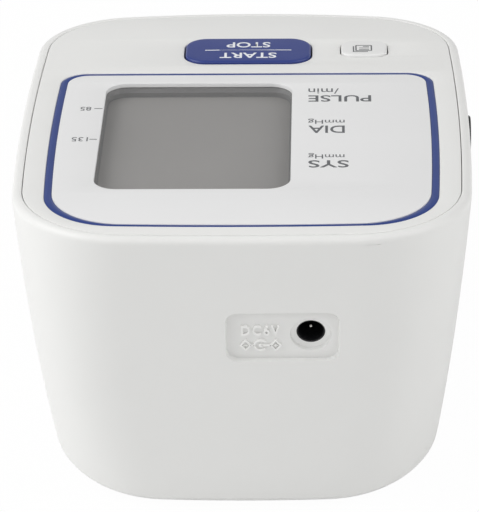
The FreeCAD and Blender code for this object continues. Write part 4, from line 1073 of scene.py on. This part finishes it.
@dataclass
class Face:
    """Top cover with the blue ring, the white panel and the two keys."""

    cover_inset: float = 2.47
    cover_thick: float = 3.0
    panel_thick: float = 1.0
    ring_gap: float = 0.05          # gap between the ring and what lies next to it
    skirt: tuple = (1.8, -8.8)      # thickness of the cover's skirt and height of its lower end
    crown: float = 0.20             # how far the band's top falls from its middle line to its edges
    band_rows: tuple = (-0.22, -0.95)   # heights of the band's edge and of its foot
    window: tuple = WINDOW
    start: Key = field(default_factory=lambda: Key(
        "start_stop_cap", 0.0, -40.4, 30.0, 15.0, 5.1, Body.START, BUTTON_BLUE, "button_blue",
        "start_stop_button"))
    memory: Key = field(default_factory=lambda: Key(
        "memory_cap", -27.8, -41.4, 11.0, 9.2, 3.0, Body.MEMORY, BUTTON_WHITE, "button_white",
        "memory_button", gap=(0.26, 0.12)))

    def cover(self) -> None:
        """Face plate around the ring, with the openings of the keys."""
        rim = FACE_RIM.loop(even_shares(40, 28))
        ring = RING.loop(even_shares(30, 20)).inset(-self.ring_gap)
        holes = [ring] + [key.loop(*key.gap).points for key in (self.start, self.memory)]
        outer = rim.inset(self.cover_inset)
        mesh = flat_plate(outer, holes, 0.0, self.cover_thick, FACE, bevel=0.22)
        finished("cover_plate", mesh, CASE_ABS, Body.CASE, "case_white", "top_cover")
        wide, low = self.skirt
        top, inner = -self.cover_thick + 0.3, self.cover_inset + wide
        rows = [(rim.inset(inset), w) for inset, w in ((self.cover_inset, top), (self.cover_inset, low),
                                                       (inner, low), (inner, top))]
        mesh = layered(FACE, rows, sharp=30.0)
        finished("cover_skirt", mesh, CASE_ABS, Body.CASE, "case_white", "top_cover")

    def ring(self) -> None:
        """Blue band: from inner to outer line, with its top raised along the middle.

        The top falls by the crown times the square of the share off its middle line.
        """
        outer, inner = (line.loop(even_shares(60, 28)).points for line in (RING, RING_INNER))
        edge, foot = self.band_rows
        rows = [(1.0, foot), (1.0, edge)]
        rows += [(0.5 + 0.5 * a, -self.crown * a * a) for a in np.linspace(1, -1, 11)]
        rows += [(0.0, edge), (0.0, foot)]
        mesh = layered(FACE, [(outer + (inner - outer) * share, w) for share, w in rows], sharp=40.0)
        finished("trim_band", mesh, RING_LACQUER, Body.CASE, "ring_blue", "trim_ring")

    def panel(self) -> None:
        """White sheet inside the ring, open over the display."""
        outer = RING_INNER.loop(even_shares(30, 20)).inset(self.ring_gap)
        hole = rounded_rectangle(*self.window, corner=16, side=8).points
        mesh = flat_plate(outer, [hole], 0.0, self.panel_thick, FACE, bevel=0.10)
        finished("panel_sheet", mesh, PANEL_SHEET, Body.CASE, "panel_white", "display_panel")

    def build(self) -> None:
        """Make the face's pieces."""
        self.cover()
        self.ring()
        self.panel()
        self.start.build()
        self.memory.build()


@dataclass
class Display:
    """Clear window, the grey wall around the display and the film over its glass."""

    window: tuple = WINDOW
    lens_top: float = -1.02
    lens_thick: float = 0.55
    lens_gap: float = -0.04         # how far the lens reaches past the opening, negative for a gap
    # Inset and height of each row of the grey wall.
    wall: tuple = ((0.5, -3.36), (0.02, -3.3), (0.02, -1.02), (-1.3, -1.02), (-1.3, -3.36))
    film_top: float = -3.38
    film_thick: float = 0.18
    film_margin: float = 3.0        # how much wider and longer the film is than the opening

    def build(self) -> None:
        """Make the display's pieces."""
        u, v, width, length, radius = self.window
        gap = self.lens_gap
        lens = rounded_rectangle(u, v, width + 2 * gap, length + 2 * gap, radius + gap, corner=16, side=8)
        mesh = flat_plate(lens.points, [], self.lens_top, self.lens_thick, FACE, bevel=0.05)
        finished("window_lens", mesh, WINDOW_CLEAR, Body.CASE, "window_clear", "display_window")
        loop = rounded_rectangle(*self.window, corner=16, side=8)
        mesh = layered(FACE, [(loop.inset(inset), w) for inset, w in self.wall], sharp=35.0)
        finished("window_wall", mesh, FRAME_ABS, Body.CASE, "frame_grey")
        more = self.film_margin
        sheet = rounded_rectangle(u, v, width + more, length + more, 0.6, corner=5, side=6)
        film = flat_plate(sheet.points, [], self.film_top, self.film_thick, FACE, bevel=0.04)
        finished("display_film", film, LCD_FILM, Body.CASE, "lcd_grey")


@dataclass(frozen=True)
class Label:
    """One printed word and the box that it fills in face coordinates."""

    text: str
    low: tuple[float, float]
    high: tuple[float, float]
    weight: float = 0.0


@dataclass
class Print:
    """Printed words, scale marks and key signs."""

    ink: float = 0.03               # thickness of the printed layer
    lift: float = 0.004             # what keeps a print clear of its key
    words: tuple[Label, ...] = (
        Label("PULSE", (-29.1, -13.0), (-14.5, -9.2), 0.01),
        Label("/min", (-21.6, -17.2), (-14.5, -14.0)),
        Label("DIA", (-22.85, 5.0), (-14.6, 9.2), 0.01),
        Label("mmHg", (-22.85, 0.9), (-14.5, 3.9)),
        Label("SYS", (-23.6, 24.7), (-14.6, 28.7), 0.01),
        Label("mmHg", (-22.7, 20.7), (-14.6, 23.7)),
        Label("85", (35.7, -6.55), (38.2, -4.4)),
        Label("135", (35.45, 11.2), (39.1, 13.5)),
    )
    start_words: tuple[Label, ...] = (Label("START", (-6.8, -38.1), (6.75, -34.9), 0.016),
                                      Label("STOP", (-5.25, -44.9), (5.25, -41.45), 0.016))
    ticks: tuple = ((33.1, 35.0, -5.57), (33.35, 35.05, 12.4))      # ends across and place along
    stroke: float = 0.15            # half width of the thin lines
    divider: tuple = (10.35, -39.85, 0.19)      # half length, place along and half width
    card_at: tuple = (-27.3, -40.5)

    def letters(self, words: tuple[Label, ...]) -> list[Mesh]:
        """One mesh for each word."""
        return [lettering(w.text, FACE, w.low, w.high, 0.0, self.ink, w.weight) for w in words]

    def mark(self, line: Array, *holes: Array) -> Mesh:
        """Flat printed shape inside a line."""
        return flat_plate(line, list(holes), self.ink, self.ink, FACE, bevel=0.005)

    def words_on_panel(self) -> None:
        """Words beside the display and the marks of the level scale."""
        meshes = self.letters(self.words)
        meshes += [self.mark(rectangle(low, v - self.stroke, high, v + self.stroke))
                   for low, high, v in self.ticks]
        finished("panel_print", joined(meshes), INK_GREY, Body.CASE, "frame_grey")

    def words_on_start(self, key: Key) -> None:
        """START over STOP with a line between them.

        Args:
            key: The key that carries them.
        """
        half, v, wide = self.divider
        line = np.stack([np.linspace(-half, half, 42), np.full(42, v)], axis=-1)
        band = np.concatenate([line + (0, -wide), line[::-1] + (0, wide)])
        meshes = self.letters(self.start_words) + [self.mark(band)]
        mesh = self.draped(meshes, key)
        finished("start_stop_print", mesh, INK_WHITE, key.body, "button_white")

    def draped(self, meshes: list[Mesh], key: Key) -> Mesh:
        """Join prints and lift them onto a key's dome.

        Args:
            meshes: Prints on the plane of the face; they are used up.
            key: The key; the share of the way to its edge gives the height under a point.

        Returns:
            The joined mesh.
        """
        mesh = joined(meshes)
        local = FACE.local(coordinates(mesh))
        share = np.maximum(np.abs(local[:, 0] - key.u) / (key.width / 2 - key.edge),
                           np.abs(local[:, 1] - key.v) / (key.length / 2 - key.edge))
        local[:, 2] += key.top(share) + self.lift
        put_points(mesh, FACE.place(local))
        return mesh

    def sign_on_memory(self, key: Key) -> None:
        """A plain sign for stored readings: a card with lines on a second card.

        Args:
            key: The key that carries it.
        """
        u, v = self.card_at
        front = rounded_rectangle(u - 0.4, v - 0.35, 4.0, 3.6, 0.35, corner=4, side=2)
        meshes = [self.mark(front.points, front.inset(0.32))]
        for i, end in enumerate((0.7, 0.7, -0.2)):
            y = v + 0.65 - i * 0.95
            meshes.append(self.mark(rectangle(u - 1.7, y - self.stroke, u + end, y + self.stroke)))
        corner = np.array([(u - 1.4, v + 1.75), (u + 1.9, v + 1.75), (u + 1.9, v - 1.5), (u + 2.2, v - 1.5),
                           (u + 2.2, v + 2.05), (u - 1.4, v + 2.05)])
        meshes.append(self.mark(corner))
        mesh = self.draped(meshes, key)
        finished("memory_sign", mesh, INK_GREY, key.body, "frame_grey")

    def build(self, face: Face) -> None:
        """Make the printed pieces.

        Args:
            face: The face that carries the keys.
        """
        self.words_on_panel()
        self.words_on_start(face.start)
        self.sign_on_memory(face.memory)


# --- sockets --------------------------------------------------------------------------------------
@dataclass
class PowerSocket:
    """Floor of the rear recess with its funnel and raised signs."""

    x: float = -15.15
    z: float = SOCKET_Z
    funnel: float = 4.45        # radius of the funnel's edge
    hole: float = 3.15          # radius of the bore
    step: float = 0.75          # depth of the step around the cone
    depth: float = 1.1          # from the recess floor to the bore's edge
    nose: float = -2.6          # height of the pin's nose over the recess floor
    pin_radius: float = 0.5
    relief: float = 0.45        # height of the raised signs
    sink: float = 0.03          # how far the signs reach into the floor
    volts_box: tuple = ((0.0, 52.3), (8.4, 55.2))
    polarity_at: tuple = (4.2, 49.5)
    pole_at: float = 3.3        # how far the diamonds lie from the middle of the polarity sign
    arc: tuple = (1.6, 1.2, 0.75)       # outer and inner radius, half of the opening in radians
    dot: float = 0.42
    bar: float = 0.17           # half width of the bars
    thin: float = 0.12          # half width of plus and minus
    long: float = 0.42          # half length of the minus
    diamond_hole: float = 0.66  # size of a diamond's hole as a share of the diamond's
    sleeve: tuple = (0.3, -2.6)         # thickness of the socket's black sleeve and height of its end
    pin_foot: float = -11.0
    recess: Recess = field(default_factory=Recess)

    def seat(self, x: float = 0.0, z: float = 0.0) -> Seat:
        """Frame in the recess floor: across runs to -X, along runs up and out is +Y."""
        return Seat((x, self.recess.floor_y, z), (-1.0, 0.0, 0.0), (0.0, 0.0, 1.0))

    def floor(self) -> Mesh:
        """Plate of the recess floor with the round opening of the funnel.

        Returns:
            The mesh, in metres.
        """
        less = self.recess.margin
        loop = rounded_rectangle(-self.recess.x, self.recess.z, self.recess.width - 2 * less,
                                 self.recess.height - 2 * less, self.recess.radius - less,
                                 corner=12, side=6)
        ring = circle((-self.x, self.z), self.funnel + 0.1, 72)
        return flat_plate(loop.points, [ring], top=-0.015, thick=0.6, seat=self.seat(), bevel=0.03)

    def revolved(self, profile: Array, around: int, sharp: float) -> Mesh:
        """Surface of revolution about the socket's axis, with heights over the recess floor."""
        return turned(profile, self.seat(self.x, self.z), around, sharp)

    def funnel_mesh(self) -> Mesh:
        """Short step with a rounded lip, then a straight cone down to the socket's mouth.

        Returns:
            The mesh, in metres.
        """
        profile = np.array([(self.hole, -1.4), (self.hole, -self.depth), (self.funnel - 0.15, -self.step),
                            (self.funnel, -0.12), (self.funnel + 0.05, -0.04), (self.funnel + 0.12, -0.01)])
        return self.revolved(profile, around=72, sharp=24.0)

    def mouth(self) -> Mesh:
        """Black sleeve in the bore, from just below the cone down to the socket's face.

        Returns:
            The mesh, in metres.
        """
        thick, end = self.sleeve
        inner, outer, top = self.hole - thick, self.hole - 0.01, -self.depth - 0.03
        profile = np.array([(inner, end), (inner, top - 0.12), (inner + 0.1, top), (outer, top),
                            (outer, end), (inner, end)])
        return self.revolved(profile, around=72, sharp=30.0)

    def pin(self) -> Mesh:
        """Contact pin with a round nose.

        Returns:
            The mesh, in metres.
        """
        nose = fillet((0.0, self.nose - self.pin_radius), self.pin_radius, 0, 90, 7)
        profile = np.concatenate([[(0.0, self.pin_foot), (self.pin_radius, self.pin_foot)], nose])
        return self.revolved(profile, around=32, sharp=40.0)

    def signs(self) -> Mesh:
        """Raised voltage and polarity signs on the recess floor.

        The polarity sign is an open ring round a dot, with a bar and a diamond on either side.

        Returns:
            The mesh, in metres.
        """
        seat, thick = self.seat(), self.relief + self.sink
        meshes = [lettering("DC6V", seat, *self.volts_box, -self.sink, thick, weight=0.02, spacing=1.3)]
        big, small, opening = self.arc
        arc, centre = unit(np.linspace(opening, math.tau - opening, 36)), np.array(self.polarity_at)
        shapes = [np.concatenate([centre + big * arc, centre + small * arc[::-1]]),
                  circle(centre, self.dot, 24), centre + rectangle(0.2, -self.bar, 2.3, self.bar),
                  centre + rectangle(-2.3, -self.bar, -1.4, self.bar)]
        diamond = np.array([(1.3, 0), (0, 1.65), (-1.3, 0), (0, -1.65)])
        minus, plus = centre + (-self.pole_at, 0), centre + (self.pole_at, 0)
        for middle in (minus, plus):
            meshes.append(flat_plate(middle + diamond, [middle + self.diamond_hole * diamond],
                                     self.relief, thick, seat, bevel=0.02))
            shapes.append(middle + rectangle(-self.long, -self.thin, self.long, self.thin))
        shapes += [plus + rectangle(-self.thin, self.thin, self.thin, 0.5),
                   plus + rectangle(-self.thin, -0.5, self.thin, -self.thin)]
        meshes += [flat_plate(shape, [], self.relief, thick, seat, bevel=0.02) for shape in shapes]
        return joined(meshes)

    def build(self) -> None:
        """Make the recess's pieces."""
        parts = [self.floor(), self.funnel_mesh()]
        finished("recess_floor", joined(parts, sharp=28.0), CASE_ABS, Body.CASE, "case_white")
        # The raised signs' lighter white is a painted highlight.
        finished("socket_signs", self.signs(), SIGN_ABS_PAINTED_LIGHT, Body.CASE, "case_white")
        finished("socket_mouth", self.mouth(), SOCKET_PBT, Body.CASE, "socket_dark")
        finished("socket_pin", self.pin(), NICKEL, Body.CASE, "nickel", "dc_contact_pin")


@dataclass
class AirSocket:
    """Round socket in the left wall for the cuff's air plug."""

    face_x: float = -52.4

    def build(self) -> None:
        """Profile from the bore's bottom out over the collar's lip and back to flange and barb."""
        seat = Seat((self.face_x, *AIR_SOCKET), (0.0, 0.0, 1.0), (0.0, 1.0, 0.0))
        profile = np.concatenate([
            [(1.0, -13.8), (1.0, -8.0), (3.0, -8.0), (3.0, -0.35)], fillet((3.35, -0.35), 0.35, 180, 90, 5),
            fillet((4.2, -0.5), 0.5, 90, 0, 6), [(4.7, -8.0), (6.5, -8.0), (6.5, -10.0), (2.0, -10.0),
                                                 (2.0, -13.8), (1.0, -13.8)]])
        mesh = turned(profile, seat, around=72, sharp=35.0)
        finished("air_socket", mesh, SOCKET_PBT, Body.CASE, "socket_dark", "air_jack")


# --- carried-over nodes ---------------------------------------------------------------------------
@dataclass
class InnerParts:
    """Nodes of the CAD model that stay as they are and get a finish."""

    finishes: tuple[tuple[Finish, str], ...] = (
        (LCD_GLASS, "lcd_glass"), (FRAME_ABS, "lcd_frame"), (ELASTOMER, "lcd_strip_left lcd_strip_right"),
        (BOARD, "circuit_board"), (CASE_ABS, "battery_door"), (SOCKET_PBT, "dc_jack"),
        (MOTOR_CAN, "pump_motor"),
        (CHIP, "processor buzzer pressure_sensor start_switch_housing memory_switch_housing"),
        (BLACK_RUBBER, "start_switch_actuator memory_switch_actuator"),
        (BLACK_RUBBER, "pump_diaphragm pump_cushion leak_valve"),
        (NICKEL, "battery_plates battery_springs"),
        (PUMP_POM, "pump_crank pump_housing pump_head pump_strap valve_cap air_manifold"),
        (STEEL, "board_screws case_screws motor_shaft valve_body valve_plunger valve_spring"),
        (SILICONE, "pump_tube valve_tube sensor_tube jack_tube"),
        (LEAD_PVC, "motor_leads battery_leads dc_leads"),
        (CELL_SLEEVE, "aa_cell_1 aa_cell_2 aa_cell_3 aa_cell_4"),
        (FOOT_RUBBER, "rubber_foot_1 rubber_foot_2 rubber_foot_3 rubber_foot_4"),
    )

    def build(self) -> None:
        """Give every kept node its material."""
        for finish, names in self.finishes:
            for name in names.split():
                finish.cover(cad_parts[name].data)
                LOG.info("%s: kept, %s", name, finish.name)


# --- studio ---------------------------------------------------------------------------------------
@dataclass
class Studio:
    """Pale floor, soft light and the camera."""

    camera_at: tuple = (-18.149, 638.519, 552.394)  # mm
    target: tuple = (2.0, 0.0, 21.927)              # mm
    roll: float = math.radians(-1.31)
    lens: float = 245.972
    half: float = 4.0                               # m, half of the floor's side
    floor_z: float = -0.02                          # mm, just clear of the feet
    floor_glow: float = 0.97                        # share of it that the camera sees as plain white
    paper: str = "#f2f2f2"
    paper_roughness: float = 0.9
    aim: tuple = (0.0, 0.0, 0.05)                   # m, what the lamps look at
    sensor: float = 36.0                            # mm
    clip: tuple = (0.05, 20.0)                      # m, nearest and farthest that is seen
    world_strength: float = 0.415
    # Name, place and size in metres, power in watts.
    lamps: tuple = (("soft_left", (1.3, 0.1, 1.0), 1.4, 18.5), ("soft_right", (-1.3, 0.1, 1.0), 1.4, 10.6),
                    ("soft_rear", (0.0, 1.5, 1.3), 1.2, 3.2))

    def floor(self) -> None:
        """Wide white floor that keeps a faint shadow and lets a look from below pass."""
        mesh = bpy.data.meshes.new("studio_floor")
        corners = raised(rectangle(-self.half, -self.half, self.half, self.half), self.floor_z * MM)
        mesh.from_pydata(corners.tolist(), [], [(0, 1, 2, 3)])
        floor = placed("studio_floor", mesh)
        made, shader = shader_material("paper_sweep_white")
        tree = made.node_tree
        shader.inputs["Base Color"].default_value = linear(self.paper)
        shader.inputs["Roughness"].default_value = self.paper_roughness
        glow = add_node(tree, "ShaderNodeEmission", {"Color": WHITE, "Strength": 1.0})
        path = add_node(tree, "ShaderNodeLightPath")
        share = add_node(tree, "ShaderNodeMath", {"operation": "MULTIPLY", 1: self.floor_glow},
                         {0: path.outputs["Is Camera Ray"]})
        above = blend(tree, share.outputs[0], shader.outputs["BSDF"], glow.outputs["Emission"])
        side = add_node(tree, "ShaderNodeNewGeometry")
        below = add_node(tree, "ShaderNodeBsdfTransparent")
        blend(tree, side.outputs["Backfacing"], above, below.outputs["BSDF"], "Material Output")
        mesh.materials.append(made)

    def world(self) -> None:
        """Even pale surroundings."""
        world = bpy.data.worlds.new("studio_world")
        world.use_nodes = True
        tree = world.node_tree
        ground = tree.nodes["Background"]
        ground.inputs["Color"].default_value = WHITE
        ground.inputs["Strength"].default_value = self.world_strength
        seen = add_node(tree, "ShaderNodeBackground", {"Color": WHITE, "Strength": 1.0})
        path = add_node(tree, "ShaderNodeLightPath")
        blend(tree, path.outputs["Is Camera Ray"], ground.outputs["Background"], seen.outputs["Background"],
              "World Output")
        bpy.context.scene.world = world

    def lamp(self, name: str, place: tuple, size: float, power: float) -> None:
        """Large soft lamp that looks at the monitor.

        Args:
            name: Name of the lamp.
            place: Where it hangs, in metres.
            size: Side of the square lamp, in metres.
            power: Power in watts.
        """
        light = bpy.data.lights.new(name, "AREA")
        light.size, light.energy = size, power
        lamp = placed(name, light)
        lamp.location = place
        lamp.rotation_euler = (Vector(self.aim) - Vector(place)).to_track_quat("-Z", "Y").to_euler()

    def camera(self) -> None:
        """Camera from behind and above, at the calibrated place."""
        data = bpy.data.cameras.new("camera")
        data.lens, data.sensor_width, data.sensor_fit = self.lens, self.sensor, "AUTO"
        data.clip_start, data.clip_end = self.clip
        camera = placed("camera", data)
        eye, target = Vector(self.camera_at) * MM, Vector(self.target) * MM
        forward = (target - eye).normalized()
        right = forward.cross(Vector((0, 0, 1))).normalized()
        up = right.cross(forward)
        c, s = math.cos(self.roll), math.sin(self.roll)
        x_axis, y_axis = c * right + s * up, -s * right + c * up
        turn = Matrix((x_axis, y_axis, -forward)).transposed().to_4x4()
        camera.matrix_world = Matrix.Translation(eye) @ turn
        bpy.context.scene.camera = camera

    def build(self) -> None:
        """Make the studio."""
        self.floor()
        self.world()
        for name, place, size, power in self.lamps:
            self.lamp(name, place, size, power)
        self.camera()
        bpy.context.scene.view_settings.view_transform = "Standard"


def main() -> None:
    """Build every sub-assembly in order."""
    logging.basicConfig(level=logging.INFO, format="%(name)s %(message)s")
    face = Face()
    CaseShell().build()
    face.build()
    Display().build()
    Print().build(face)
    PowerSocket().build()
    AirSocket().build()
    InnerParts().build()
    Studio().build()


if __name__ == "__main__":
    main()
